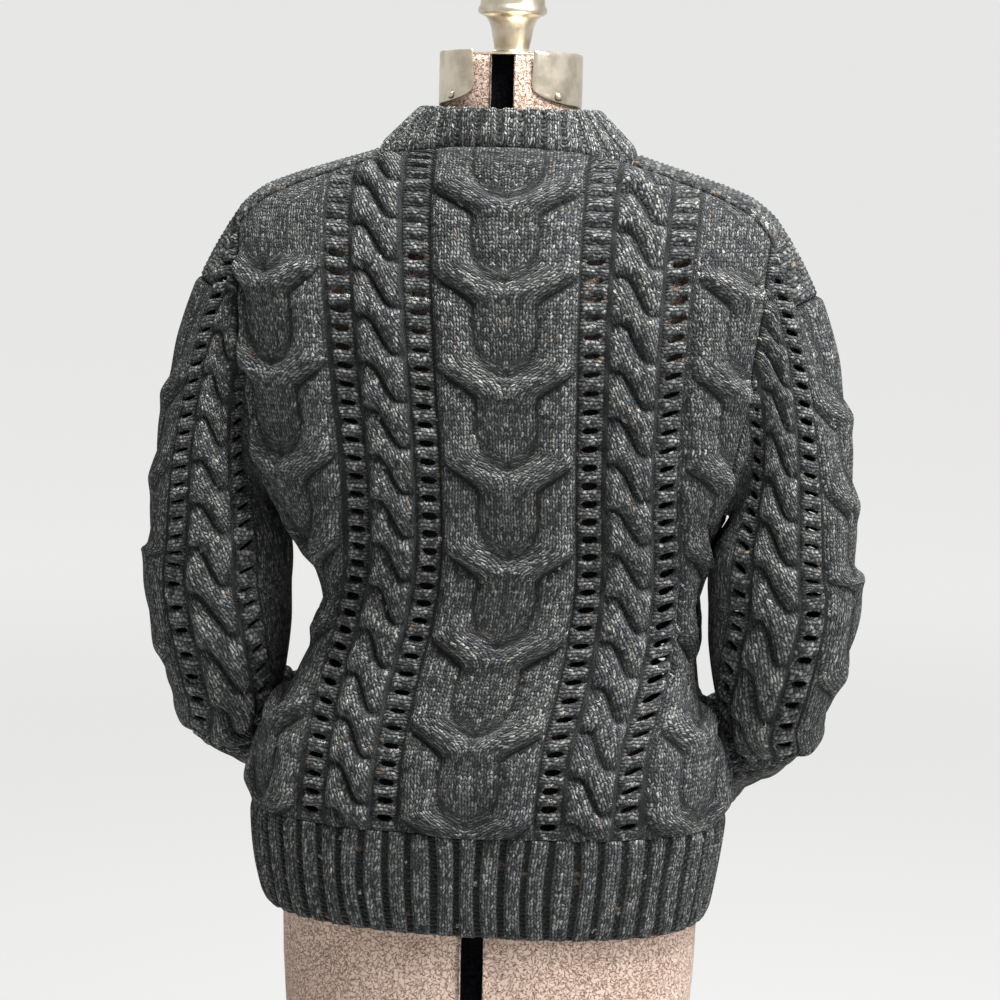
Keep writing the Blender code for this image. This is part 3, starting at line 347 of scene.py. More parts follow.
def makeNickel():
    # warm plated metal with cloudy wear and faint pits
    material, shader, n, place = newMaterial("nickelPlate", metallic=1.0)
    cloud = n.noise(place, 45.0, 4.0, 0.6)
    pits = n.noise(place, 700.0, 3.0, 0.7)
    n.put(shader.inputs["Base Color"], n.ramp(cloud, (0.30, (0.40, 0.345, 0.255)),
                                              (0.62, (0.68, 0.615, 0.50))))
    n.put(shader.inputs["Roughness"], n.plus(n.times(cloud, 0.30), n.times(pits, 0.16), 0.10))
    n.put(shader.inputs["Normal"], n.bump(pits, 0.0002, 0.5))
    return material


def makeIron():
    # dark paint over cast iron, a little orange peel
    material, shader, n, place = newMaterial("darkPaintedIron")
    peel = n.noise(place, 300.0, 3.0)
    worn = n.noise(place, 14.0, 4.0, 0.65)
    n.put(shader.inputs["Base Color"], n.ramp(worn, (0.45, (0.018, 0.018, 0.02)),
                                              (0.75, (0.05, 0.047, 0.045))))
    n.put(shader.inputs["Roughness"], n.scaled(worn, 0.3, 0.3))
    n.put(shader.inputs["Normal"], n.bump(peel, 0.0003, 0.4))
    return material


# Tables of the garment, in the same numbers as the solids

def table(names, *rows):
    # columns by name, a row for each section or fold
    values = np.array(rows, float)
    return {name: values[:, i] for i, name in enumerate(names.split())}


torso = table("height halfWidth shift back front",
              (765, 170.5, -3, 107, 111), (790, 176, -4, 111, 117), (845, 182, -3, 116, 128),
              (885, 181, -2, 118, 132), (910, 172, -1, 114, 128), (940, 155, 1, 104, 120),
              (970, 144, 6, 96, 113), (1000, 142, 9, 94, 111), (1020, 144, 10, 94, 113),
              (1045, 152, 8, 96, 118), (1065, 162, 4, 99, 123), (1080, 170, 2, 101, 126),
              (1104, 187, 0, 104, 129), (1168, 202, 0, 107, 131), (1230, 210, 0, 108, 127),
              (1290, 219, 0, 108, 118), (1400, 222, 0, 108, 104))
armhole = table("height edge", (1080, 170), (1092, 173), (1104, 177), (1168, 189),
                (1229, 196), (1300, 203))
drift = table("height sideways spread",
              (765, -6, 1.00), (870, -5, 1.00), (910, -2, 1.00), (950, 5, 1.02),
              (1005, 15, 0.99), (1040, 19, 0.97), (1100, 19, 0.96), (1175, 16, 1.00),
              (1330, 9, 1.10), (1400, 8, 1.12))
shoulder = table("across ridge", (0, 1400), (60, 1370), (97, 1353), (134, 1341), (170, 1329),
                 (190, 1320), (205, 1307), (230, 1270))
strapEnd = table("across height turn", (205, 1307, 38), (216, 1291, 54), (227, 1272, 60),
                 (237, 1252, 64))
# side -1 back, +1 front; soft troughs and swells of the hanging cloth
folds = table("side across height lean length breadth depth",
              (-1, -128, 1018, 8, 34, 11, -9), (-1, -98, 1000, -10, 60, 22, 4),
              (-1, 22, 905, 38, 75, 17, 5), (-1, -28, 880, 42, 60, 15, -4),
              (-1, 118, 918, -32, 40, 14, -5), (-1, 128, 945, -60, 46, 14, 4),
              (-1, -150, 870, 5, 45, 18, 4), (1, 110, 1010, -14, 60, 18, -6),
              (1, -112, 1005, 14, 55, 18, -6), (1, 40, 915, -40, 80, 20, 5),
              (1, -50, 935, 40, 70, 18, 5))
sleevePath = table("x y z halfOut halfBack leftDrop leftOut",
                   (227, -3, 1070, 46.5, 56, 0, 0), (222, -2, 1042, 54, 56, 0, 0),
                   (223, 0, 1012, 55, 54, 0, 0), (220, 6, 980, 51.5, 53, 3, 0),
                   (217, 24, 946, 43, 52, 7, 2), (218, 64, 920, 33, 48, 11, 6),
                   (205, 110, 894, 34, 44, 13, 6), (176, 152, 865, 36, 40, 10, 4),
                   (135, 174, 838, 35, 37, 6, 1), (106, 183, 822, 33, 33, 3, 0),
                   (80, 192, 807, 31, 31, 1, 0), (55, 198, 792, 33, 33, 0, 0))
sleeveFolds = table("along around length breadth depth",
                    (205, 150, 22, 60, 3.5), (233, 150, 18, 60, -2), (258, 140, 22, 60, 3.5),
                    (250, 20, 24, 50, -2.5), (292, 160, 24, 60, 3), (328, 40, 24, 60, 3),
                    (360, 60, 20, 50, -2), (120, 60, 34, 40, 1.5))
formSize = table("height halfWidth back front",
                 (600, 152, 94, 98), (680, 161, 100, 104), (765, 164.5, 103, 107),
                 (840, 162, 101, 106), (920, 142, 86, 94), (985, 122, 76, 86),
                 (1040, 129, 82, 98), (1110, 144, 91, 116), (1160, 153, 95, 120),
                 (1220, 166, 96, 110), (1270, 179, 88, 92), (1300, 187, 76, 74))

bodySet = dict(hem=765.0, ribTop=845.0, underarm=1080.0, crownStart=1180.0, neckHalf=97.0,
               backNeck=1358.0, frontNeck=1284.0, strapHalf=28.0, gap=0.3, wall=2.6, inner=0.2,
               boxiness=2.5, layoutEnd=125.0, panelEdge=250.0, sleeveEdge=178.0)
knitSet = dict(repeat=69.0, firstBend=8.0, fieldHalf=52.0, lacePitch=13.8, laceGap=4.6,
               laceHalf=6.0, ladderHalf=9.5, laces=(62.0, 120.0), rope=91.0, ropeHalf=17.0,
               sideMiddle=184.0, grooves=((52.3, 1.5), (130.5, 1.6)), grooveDepth=1.1,
               stitch=13 / 3, row=3.45)
# rows below a ladder's first open cell
firstCell = knitSet["lacePitch"] * 0.6


def curve(at, xs, ys):
    # cubic through the table's points, slopes from its neighbours, held past the ends
    at = np.clip(np.asarray(at, float), xs[0], xs[-1])
    slopes = np.gradient(ys, xs)
    i = np.clip(np.searchsorted(xs, at, side="right") - 1, 0, len(xs) - 2)
    width = xs[i + 1] - xs[i]
    t = (at - xs[i]) / width
    return ((1 + 2 * t) * (1 - t) ** 2 * ys[i] + t * (1 - t) ** 2 * width * slopes[i]
            + t * t * (3 - 2 * t) * ys[i + 1] + t * t * (t - 1) * width * slopes[i + 1])


def smooth(t):
    # 0 to 1 with level ends
    t = np.clip(t, 0, 1)
    return t * t * (3 - 2 * t)


def roundEdge(distance, radius):
    # quarter circle: 0 at the edge, 1 from one radius in
    t = np.clip(distance / radius, 0, 1)
    return np.sqrt(1 - (1 - t) ** 2)


def edgeDrop(distance, reach):
    # square of the share left: 1 at the edge, 0 from one reach in
    return (1 - np.clip(distance / reach, 0, 1)) ** 2


def dome(distance, radius):
    # parabola: 0 at the edge, 1 from one radius in
    return 1 - edgeDrop(distance, radius)


def roundedWall(fromSeam):
    # the cloth's wall, half as thick at a seam and whole from 2.5 in
    return bodySet["wall"] * (1 - 0.5 * edgeDrop(fromSeam, 2.5))


def walk(points):
    # distance walked along a line of points, 0 at the first
    steps = np.linalg.norm(np.diff(points, axis=0), axis=1)
    return np.concatenate([[0], np.cumsum(steps)])


def unit(v):
    # v over its own length
    return v / np.maximum(np.linalg.norm(v, axis=-1, keepdims=True), 1e-9)


def vec(x, y, z):
    # points from their three coordinates, spread to one shape
    return np.stack(np.broadcast_arrays(x, y, z), axis=-1)


# The hanging body

def torsoSize(name, z):
    # one of the body's sizes at height z
    return curve(z, torso["height"], torso[name])


def ridgeHeight(x):
    # top line of the shoulder over x
    return curve(np.abs(x), shoulder["across"], shoulder["ridge"])


def crownShare(x, z):
    # share of the depth left at height z: 1 below the crown, 0 on the shoulder's ridge
    start = bodySet["crownStart"]
    t = np.clip((z - start) / (ridgeHeight(x) - start), 0, 1)
    return np.sqrt(1 - t ** 2.2)


def halfAngle(x, z):
    # section angle of a point at x: sin to the 2/boxiness gives the share of the half width
    aside = x - torsoSize("shift", z)
    share = np.clip(np.abs(aside) / torsoSize("halfWidth", z), 0, 1)
    return np.arcsin(share ** (bodySet["boxiness"] / 2)) * np.sign(aside)


def foldDepth(side, x, z):
    # sum of long soft humps, each a bell along and across its own turned line
    total = np.zeros(np.broadcast(x, z).shape)
    for foldSide, across, height, lean, length, breadth, depth in zip(*folds.values()):
        if foldSide == side:
            turn = np.radians(lean)
            along = (z - height) * np.cos(turn) + (x - across) * np.sin(turn)
            beside = (x - across) * np.cos(turn) - (z - height) * np.sin(turn)
            total = total + depth * np.exp(-(along / length) ** 2 - (beside / breadth) ** 2)
    return total


def torsoAt(side, angle, z):
    # superellipse section whose depth closes to the shoulder's ridge
    grow = 2 / bodySet["boxiness"]
    x = torsoSize("shift", z) + (torsoSize("halfWidth", z)
                                 * np.sign(angle) * np.abs(np.sin(angle)) ** grow)
    flat = np.abs(np.cos(angle))
    depth = torsoSize("back" if side < 0 else "front", z) * flat ** grow * crownShare(x, z)
    return vec(x, side * (depth + foldDepth(side, x, z) * flat), z)


def panelAngle(w, z):
    # columns keep their own spacing up to the outer lace, then share what is left to the seam
    end, edge = bodySet["layoutEnd"], bodySet["panelEdge"]
    middle = curve(z, drift["height"], drift["sideways"])
    spread = curve(z, drift["height"], drift["spread"])
    start = halfAngle(middle + np.clip(w, -end, end) * spread, z)
    edgeX = np.interp(z, armhole["height"], armhole["edge"])
    last = halfAngle(torsoSize("shift", z) * (z < bodySet["underarm"]) + edgeX * np.sign(w), z)
    last = np.where(z <= bodySet["underarm"], np.sign(w) * np.pi / 2, last)
    share = np.clip((np.abs(w) - end) / (edge - end), 0, 1)
    return start + share * (last - start)


rowSet = dict(highest=1352.0, count=600, aside=100.0, pastShare=0.35)


def rowTable(side):
    # rows above the rib are measured along the cloth at a steady distance from the middle
    heights = np.linspace(bodySet["ribTop"], rowSet["highest"], rowSet["count"])
    aside = np.full(rowSet["count"], rowSet["aside"])
    line = torsoAt(side, halfAngle(aside, heights), heights)
    return walk(line[:, 1:]), heights


rowTables = {side: rowTable(side) for side in (-1, 1)}


def rowHeight(side, s):
    # height of a row, climbing slower past the last one known
    rows, heights = rowTables[side]
    return np.interp(s, rows, heights) + np.maximum(s - rows[-1], 0) * rowSet["pastShare"]


def heightRow(side, z):
    # the row at a height
    rows, heights = rowTables[side]
    return np.interp(z, heights, rows)


def panelInner(side, w, s):
    # inside of a panel at column w and row s, kept off the middle plane
    z = rowHeight(side, s)
    point = torsoAt(side, panelAngle(w, z), z)
    point[..., 1] = side * np.maximum(side * point[..., 1], bodySet["gap"] / 2)
    return point


def panelNormal(side, w, s):
    # cross product of the surface's two directions, pointing out of the body
    across = panelInner(side, w + 1, s) - panelInner(side, w - 1, s)
    along = panelInner(side, w, s + 1) - panelInner(side, w, s - 1)
    return unit(np.cross(across, along) * -side)


def shoulderHeight(side, x, y):
    # height of the crown at a distance y from the ridge, settled in six steps
    z = ridgeHeight(x)
    for _ in range(6):
        depth = torsoSize("back" if side < 0 else "front", z)
        depth = depth * np.abs(np.cos(halfAngle(x, z))) ** (2 / bodySet["boxiness"])
        share = (1 - np.minimum(y / depth, 0.999) ** 2) ** (1 / 2.2)
        z = bodySet["crownStart"] + share * (ridgeHeight(x) - bodySet["crownStart"])
    return z


def seamHeight(side, x):
    # top edge of a panel: a curved neck, then the edge of the shoulder strap
    x = np.minimum(np.abs(x), 203.0)
    neck = bodySet["neckHalf"]
    strap = shoulderHeight(side, np.maximum(x, neck), bodySet["strapHalf"] + bodySet["gap"])
    middle = bodySet["backNeck"] if side < 0 else bodySet["frontNeck"]
    dip = middle + (strap - middle) * (x / neck) ** (2.0 if side < 0 else 2.6)
    return np.where(x >= neck, strap, dip)


def topRow(side, w):
    # the row where a column meets the panel's top edge, by halving
    low = np.full(np.shape(w), 250.0)
    high = np.full(np.shape(w), rowTables[side][0][-1] + 40)
    for _ in range(40):
        middle = (low + high) / 2
        point = panelInner(side, w, middle)
        below = point[..., 2] < seamHeight(side, point[..., 0])
        low, high = np.where(below, middle, low), np.where(below, high, middle)
    return (low + high) / 2


# Stitches: height of the relief, the stitch map and what kind of stitch

def stackWork(parts):
    # the highest of several layers gives height, stitch map and kind at each point
    heights = np.stack([part[0] for part in parts])
    best = heights.argmax(axis=0)[None]
    return [np.take_along_axis(np.stack([part[k] for part in parts]), best, 0)[0]
            for k in range(len(parts[0]))]


bandSet = dict(lead=16.0, turn=30.0, start=13.0, shift=25.5, cupWidth=23.0, cupDepth=29.0,
               stem=23.0, outer=51.0, lowLead=19.0, lowTurn=27.0, below=26.0, topRoom=40.0,
               low=3.6, high=8.8, beside=5.0, field=0.2, edge=11.0, lowest=-1.9)
bandArc = np.linspace(-100, 140, 961)
bandMiddle = (bandSet["start"] + bandSet["shift"]
              * smooth((bandArc + bandSet["lead"]) / bandSet["turn"]))
bandLength = walk(np.column_stack([bandArc, bandMiddle]))
bandLength = bandLength - np.interp(-bandSet["lead"], bandArc, bandLength) - bandSet["lead"]


def horseshoeWork(x, s, highest):
    # Two plump bands rise from the middle field, part round a cup and run up beside it, over
    # the bands of the repeat below. The cup's rim is half an ellipse; the bands' lower edge
    # is an S. Distances to both are taken square to the edge.
    rise, first, b = knitSet["repeat"], knitSet["firstBend"], bandSet
    x = np.abs(x)
    last = np.floor((highest - first - b["topRoom"]) / rise)
    n = np.minimum(np.floor((s - first + b["below"]) / rise), last)
    t = s - first - rise * n
    u = np.clip((t + b["lead"]) / b["turn"], 0, 1)
    slope = b["shift"] * 6 * u * (1 - u) / b["turn"]
    d = (x - b["start"] - b["shift"] * smooth(u)) / np.sqrt(1 + slope ** 2)
    rows = (np.interp(t, bandArc, bandLength) + rise * n) / knitSet["row"]
    # outside of the cup
    upT = np.minimum(t - b["cupDepth"], 0) / b["cupDepth"]
    cup = (x / b["cupWidth"]) ** 2 + upT ** 2 - 1
    cupEdge = cup / (2 * np.hypot(x / b["cupWidth"] ** 2, upT / b["cupDepth"]) + 1e-4)
    # inside of the lower edge
    v = np.clip((t + b["lowLead"]) / b["lowTurn"], 0, 1)
    widen = b["outer"] - b["stem"]
    lowSlope = widen * 6 * v * (1 - v) / b["lowTurn"]
    lowEdge = (b["stem"] + widen * smooth(v) - x) / np.sqrt(1 + lowSlope ** 2)
    plump = b["low"] + (b["high"] - b["low"]) * smooth((t + b["below"]) / 20)
    plump = plump - (b["high"] - b["beside"]) * smooth((t - 6) / 26)
    band = plump * dome(cupEdge, b["edge"]) * dome(lowEdge, b["edge"])
    band = band - 1.3 * np.exp(-(x / 2.4) ** 2) * smooth((t + 24) / 14)
    field = b["field"] + (b["low"] - b["field"]) * smooth((t - 6) / 36)
    field = field - 2.0 * np.exp(cupEdge / 6.0)
    field = np.where((cupEdge < 0.3) & (t > -1), field, -1.0)
    dip = 5.4 * np.exp(lowEdge / 6.5) * smooth((t + b["below"]) / 14)
    sides = roundEdge(x - b["cupWidth"], 10.0) * roundEdge(b["outer"] - x, 9.0)
    strand = np.where((lowEdge < 0.3) & (t < 9), (b["beside"] - dip) * sides, -1.0)
    lowerRows = (np.interp(t + rise, bandArc, bandLength) + rise * (n - 1)) / knitSet["row"]
    size, ones = knitSet["stitch"], np.ones(x.shape)
    layers = [(band, d / size, rows, ones),
              (field, (x - b["start"]) / size, (s - first) / knitSet["row"], ones),
              (strand, (x - b["start"] - b["shift"]) / size, lowerRows, ones)]
    height, p, q, kind = stackWork(layers)
    return np.maximum(height, b["lowest"]), p, q, kind


ropeSet = dict(reach=11.0, drop=14.5, swing=0.62, early=0.16, under=0.20, groove=8.0, side=9.0,
               high=9.4, sink=0.9, slant=(0.91, 0.42))


def ropeWork(x, s):
    # Two strands, each passing over the other every half repeat, down to the right.
    # The crease between them is a sine step: steep in the middle, level at the rope's sides.
    half, pitch, r = knitSet["ropeHalf"], knitSet["repeat"] / 2, ropeSet
    u = np.clip(x / half, -1, 1)
    v = np.clip(x / r["reach"], -1, 1) * np.pi / 2
    turns = (s + r["drop"] * np.sin(v)) / pitch
    phase = turns - np.floor(turns)
    steep = r["drop"] / r["reach"] * np.pi / 2 * np.cos(v)
    fromCrease = np.minimum(phase, 1 - phase) * pitch / np.sqrt(1 + steep ** 2)
    # the strand is high on the side where it crosses over, low where it dives under
    over = 0.5 + r["swing"] * u * (2 * phase - 1)
    body = r["under"] + (1 - r["under"]) * smooth(over + r["early"])
    sides = roundEdge(half - np.abs(x), r["side"])
    height = r["high"] * body * dome(fromCrease, r["groove"]) * sides - r["sink"]
    cosine, sine = r["slant"]
    across, along = x * cosine + s * sine, s * cosine - x * sine
    return height, across / knitSet["stitch"], along / knitSet["row"], np.ones(x.shape)


laceSet = dict(half=8.0, side=3.0, barHalf=5.0, floor=-1.2, barRise=3.2, border=7.6,
               borderBreadth=1.5, borderRise=0.9, stitch=3.6, row=2.76)


def laceWork(x, s, bottom):
    # Ladder: purl borders and round bars between the open cells.
    pitch, k = knitSet["lacePitch"], laceSet
    start = bottom + firstCell
    fromCell = (s - start - knitSet["laceGap"] / 2 + pitch / 2) % pitch - pitch / 2
    bar = np.clip(1 - ((pitch / 2 - np.abs(fromCell)) / k["barHalf"]) ** 2, 0, 1)
    inside = roundEdge(k["half"] - np.abs(x), k["side"])
    border = np.exp(-((np.abs(x) - k["border"]) / k["borderBreadth"]) ** 2)
    height = k["floor"] + k["barRise"] * np.sqrt(bar) * inside + k["borderRise"] * border
    return height, x / k["stitch"], s / k["row"], np.zeros(x.shape)


def plainWork(x, s, knit):
    # flat stocking stitch, a little proud of the wall
    rows = s / knitSet["row"]
    return (0.5 + 0 * x) * np.ones(s.shape), x / knitSet["stitch"] + 0 * s, rows, knit + 0 * (x + s)


def choose(work, use, other):
    # work where use holds, else other
    return [np.where(use, a, b) for a, b in zip(work, other)]


def stitchWork(x, s, bottom, twist, sides, highest):
    # lays the cables out from the middle: horseshoe, lace, rope, lace, then the side field
    x = x + 0 * s
    far = np.abs(x)
    work = plainWork(x, s, 1.0)
    work = choose(horseshoeWork(x, s, highest), far <= knitSet["fieldHalf"], work)
    work = choose(ropeWork(twist * (x - np.sign(x) * knitSet["rope"]), s),
                  np.abs(far - knitSet["rope"]) <= knitSet["ropeHalf"], work)
    for middle in knitSet["laces"]:
        inLadder = np.abs(far - middle) < knitSet["ladderHalf"]
        work = choose(laceWork(far - middle, s, bottom), inLadder, work)
    if sides:
        aside = far - knitSet["sideMiddle"]
        work = choose(horseshoeWork(aside, s, highest), np.abs(aside) <= knitSet["fieldHalf"],
                      work)
    height, p, q, kind = work
    for groove, breadth in knitSet["grooves"]:
        height = height - knitSet["grooveDepth"] * np.exp(-((far - groove) / breadth) ** 2)
    return height, p, q, kind


# Mesh building

def columnPlaces(edge, fine, coarse):
    # cell edges from the middle out, with the open cells' sides on their own columns
    (inner, outer), half, narrow = knitSet["laces"], knitSet["laceHalf"], 1.5
    marks = [(0.0, fine), (inner - half, narrow), (inner + half, fine), (outer - half, narrow),
             (outer + half, coarse), (edge, 0)]
    places = [np.linspace(a, b, int(round((b - a) / step)) + 1)[:-1]
              for (a, step), (b, _) in zip(marks, marks[1:])]
    return np.concatenate(places + [[edge]])


def openCells(w, s, start, limits):
    # cells of the grid that lie between the bars of a ladder
    across = (np.abs(w[:, :-1]) + np.abs(w[:, 1:])) / 2
    up = (s[:-1] + s[1:]) / 2
    up = (up[:, :-1] + up[:, 1:]) / 2
    cell = (up - start) % knitSet["lacePitch"]
    between = cell < knitSet["laceGap"]
    inLace = np.zeros(up.shape, bool)
    for middle in knitSet["laces"]:
        inLace |= np.abs(across - middle) < knitSet["laceHalf"]
    return inLace & between & (up > limits[0]) & (up < limits[1])


# slope of each ladder's cells, by its middle and side
laceTilt = {(62, 1): 0.10, (62, -1): -0.06, (120, 1): 0.34, (120, -1): -0.12}
lensSet = dict(tip=0.25, bulge=0.85, margin=0.5, uneven=0.24)


def lensRows(w, s, start, limits, opening=1.0):
    # draws the rows beside an open cell together so that the cell is lens shaped, by the
    # height of a half circle over its middle, and slopes each ladder's cells its own way
    pitch, gap, half = knitSet["lacePitch"], knitSet["laceGap"] / 2, knitSet["laceHalf"]
    tip, margin = lensSet["tip"], lensSet["margin"]
    moved = s + 0 * w
    for middle in knitSet["laces"]:
        x = np.abs(np.abs(w) - middle) / half + 0 * s
        lens = np.where(x < 1, tip + lensSet["bulge"] * np.sqrt(np.clip(1 - x ** 2, 0, 1)),
                        tip + (1 - tip) * np.clip((x - 1) / margin, 0, 1))
        count = np.floor((s - start - gap + pitch / 2) / pitch)
        v = s - start - gap - count * pitch
        uneven = 1 + lensSet["uneven"] * np.sin(count * 12.9 + middle + np.sign(w) * 3)
        lens = np.where(x < 1 + margin, lens * uneven * opening, 1)
        a = np.abs(v)
        outer = gap * lens + (a - gap) * (pitch / 2 - gap * lens) / (pitch / 2 - gap)
        v2 = np.sign(v) * np.where(a <= gap, a * lens, outer)
        near = (x < 1 + margin) & (s > limits[0] - pitch) & (s < limits[1])
        moved = np.where(near, s + v2 - v, moved)
        for hand in (1, -1):
            aside = (w - hand * middle) * (np.sign(w) == hand)
            window = (1 - smooth((np.abs(aside) / half - 1) / 0.9)) * smooth((s - 6) / 8)
            moved = moved + laceTilt[int(middle), hand] * aside * window
    return moved


def stacked(s):
    # rows of a grid that lie on the row below, past a column's top
    return np.concatenate([np.zeros((1, s.shape[1]), bool), np.diff(s, axis=0) < 1e-6])


def gridPiece(name, points, inside, stitches, kind, lift, material, openMask=None,
              collapse=None, wrap=False, rimmed=True):
    # Faces over a grid of points; rows that repeat a column's top are one point, and every
    # free edge, round the piece and round its open cells, is turned in to the inside points.
    rows, cols = points.shape[:2]
    number = np.arange(rows)[:, None] + np.zeros((1, cols), int)
    if collapse is not None:
        number[collapse] = 0
        number = np.maximum.accumulate(number, axis=0)
    index = number * cols + np.arange(cols)
    if wrap:
        index[:, -1] = index[:, 0]
    a, b, c, d = index[:-1, :-1], index[:-1, 1:], index[1:, 1:], index[1:, :-1]
    keep = np.ones(a.shape, bool) if openMask is None else ~openMask
    full = keep & (a != d) & (b != c)
    leftTip, rightTip = keep & (a == d) & (b != c), keep & (a != d) & (b == c)
    quads = np.stack([a, b, c, d], -1)[full]
    tips = np.concatenate([np.stack([a, b, c], -1)[leftTip], np.stack([a, b, d], -1)[rightTip]])
    flat, deep = points.reshape(-1, 3), inside.reshape(-1, 3)
    total = len(flat)
    facing = np.cross(flat[quads[:, 1]] - flat[quads[:, 0]], flat[quads[:, 3]] - flat[quads[:, 0]])
    outward = (flat - deep)[quads[:, 0]]
    if (facing * outward).sum() < 0:
        quads, tips = quads[:, ::-1], tips[:, ::-1]
    starts = np.concatenate([quads.ravel(), tips.ravel()])
    ends = np.concatenate([np.roll(quads, -1, 1).ravel(), np.roll(tips, -1, 1).ravel()])
    free = ~np.isin(starts * total + ends, ends * total + starts)
    rimA, rimB = starts[free], ends[free]
    if rimmed:
        rims = np.stack([rimB, rimA, rimA + total, rimB + total], -1)
        quads = np.concatenate([quads, rims])
    used, renumbered = np.unique(np.concatenate([quads.ravel(), tips.ravel()]),
                                 return_inverse=True)
    allPoints = np.concatenate([flat, deep])[used] * mm
    quads = renumbered[:quads.size].reshape(-1, 4)
    tips = renumbered[quads.size:].reshape(-1, 3)
    mesh = bpy.data.meshes.new(name)
    mesh.from_pydata(allPoints.tolist(), [], quads.tolist() + tips.tolist())
    mesh.shade_smooth()
    source = used % total
    corner = np.empty(len(mesh.loops), np.int32)
    mesh.loops.foreach_get("vertex_index", corner)
    if stitches is not None:
        layer = mesh.uv_layers.new(name="stitches")
        mapped = np.stack(stitches, -1).reshape(-1, 2)[source]
        layer.data.foreach_set("uv", mapped[corner].astype(np.float32).ravel())
        mesh.attributes.new("knit", "FLOAT", "POINT").data.foreach_set(
            "value", kind.reshape(-1)[source].astype(np.float32))
    if lift is not None:
        # painted shade: the turned-in inside points, on rims and round open cells, are darker
        paintedShade = lift.reshape(-1)[source] - 0.8 * (used >= total)
        mesh.attributes.new("lift", "FLOAT", "POINT").data.foreach_set(
            "value", np.clip(paintedShade, -1, 1.6).astype(np.float32))
    mesh.materials.append(material)
    piece = bpy.data.objects.new(name, mesh)
    bpy.context.scene.collection.objects.link(piece)
    return piece


pieceEndings = dict(charcoal_tweed_yarn="Knit", boucle_cover="Cover", nickel_plate="Metal",
                    dark_painted_iron="Iron")


def seat(piece, slotName, *nodes):
    # the piece rides with the part, stands for its solids and is named by its finish
    first, *rest = piece.name.split(".")[0].split("_")
    piece.name = first + "".join(word.title() for word in rest) + pieceEndings[slotName]
    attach(piece, "root")
    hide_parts(*nodes)
    return piece


def paintedShadeOf(rise, reach):
    # how far a point stands above (+1) or lies under (-1) the mean relief of its neighbours; it
    # paints shade into hollows and a highlight onto crests
    mean = rise
    for axis, count in ((0, reach), (1, reach)):
        pad = [(0, 0), (0, 0)]
        pad[axis] = (count + 1, count)
        total = np.cumsum(np.pad(mean, pad, mode="edge"), axis=axis)
        width = 2 * count + 1
        mean = (np.take(total, range(width, total.shape[axis]), axis)
                - np.take(total, range(0, total.shape[axis] - width), axis)) / width
    return np.clip((rise - mean) / 3.2, -1, 1)


def settle(distance, width, low):
    # eases from low at a seam to 1 inside it
    return low + (1 - low) * smooth(distance / width)


# Back and front panels

panelSet = dict(backStep=69 / 45, frontStep=69 / 30, backFine=1.7, backCoarse=2.3,
                frontFine=2.3, frontCoarse=3.2, rim=2.2, plainAbove=1262.0, plainEase=16.0,
                plainBeyond=131.0)


def makePanel(node, side, rowStep, fine, coarse):
    # columns across and rows up the hanging cloth, moved out by wall and relief
    gap, edge = bodySet["gap"], bodySet["panelEdge"]
    half = columnPlaces(edge, fine, coarse)
    w = np.concatenate([-half[:0:-1], half])[None, :]
    tops = topRow(side, w)
    start = gap + firstCell
    first = start - rowStep * np.floor((start - gap) / rowStep - 0.3)
    levels = np.concatenate([[gap], np.arange(first, tops.max() + rowStep, rowStep)])[:, None]
    s = np.minimum(levels, tops)
    collapse = stacked(s)
    limits = (start - 1, tops.min() - 12)
    gaps = openCells(w, levels + 0 * w, start, limits) & (s[1:, 1:] < tops[:, 1:] - 1)
    sheetRows = np.minimum(lensRows(w, s, start, limits, 1.0 if side < 0 else 0.8), tops)
    # true distance across: the columns past the outer lace are measured along the cloth
    inner = panelInner(side, w, sheetRows)
    steps = np.linalg.norm(np.diff(inner, axis=1), axis=-1)
    walked = np.concatenate([np.zeros((len(s), 1)), np.cumsum(steps, axis=1)], axis=1)
    x, laceEdge = w + 0 * s, knitSet["laces"][1] + knitSet["laceHalf"]
    for hand in (1, -1):
        last = int(np.argmin(np.abs(w - hand * laceEdge)))
        x = np.where(w * hand > laceEdge, hand * laceEdge + walked - walked[:, last:last + 1], x)
    lowest = start - firstCell
    rise, p, q, kind = stitchWork(x, sheetRows, lowest, -side, True, tops[0, half.size - 1])
    upper = heightRow(side, panelSet["plainAbove"])
    plain = plainWork(x, sheetRows, 1.0)
    high = smooth((sheetRows - upper) / panelSet["plainEase"])
    high = high * (np.abs(x) > panelSet["plainBeyond"])
    rise = rise * (1 - high) + plain[0] * high
    fromTop, fromBottom = tops - sheetRows, sheetRows - gap
    fromSide = (edge - np.abs(w)) * 0.55 + 0 * s
    rise = rise * settle(fromTop, 15, 0.1) * settle(fromBottom, 16, 0.35) * settle(fromSide, 6, 0)
    seam = np.minimum(np.minimum(fromTop, fromBottom + 1.2), fromSide)
    out = roundedWall(seam) + rise
    normal = panelNormal(side, w, sheetRows)
    points = inner + normal * out[..., None]
    deep = inner + normal * np.maximum(out - panelSet["rim"], bodySet["inner"])[..., None]
    # painted shade in hollows and along the top seam, painted highlight on crests
    lift = paintedShadeOf(rise, 5) - 0.9 * np.exp(-(fromTop / 1.8) ** 2)
    piece = gridPiece(node, points, deep, (p, q), kind, lift, yarn, gaps, collapse)
    return seat(piece, "charcoal_tweed_yarn", node)


# Hem

hemSet = dict(ribs=27, perRib=16, levels=34, rise=4.2)


def ribProfile(turns, valley=0.85):
    # flat-topped rib of two knit columns with a fine groove between, narrow purl valley
    c = np.cos(2 * np.pi * (turns - 0.5))
    crest = smooth((c + valley) / 0.95)
    return crest - 0.16 * np.exp(-((turns % 1 - 0.5) / 0.045) ** 2)


def ribLook(crest, turns, along):
    # four stitch columns a rib, knit where it stands out and purl between; painted shade in the
    # valleys and a little painted highlight on the crests
    stitches = (4 * turns, along / knitSet["row"])
    lift = np.clip((crest - 0.66) / 0.70, -0.9, 0.4)
    return stitches, (crest > 0.35).astype(float), lift


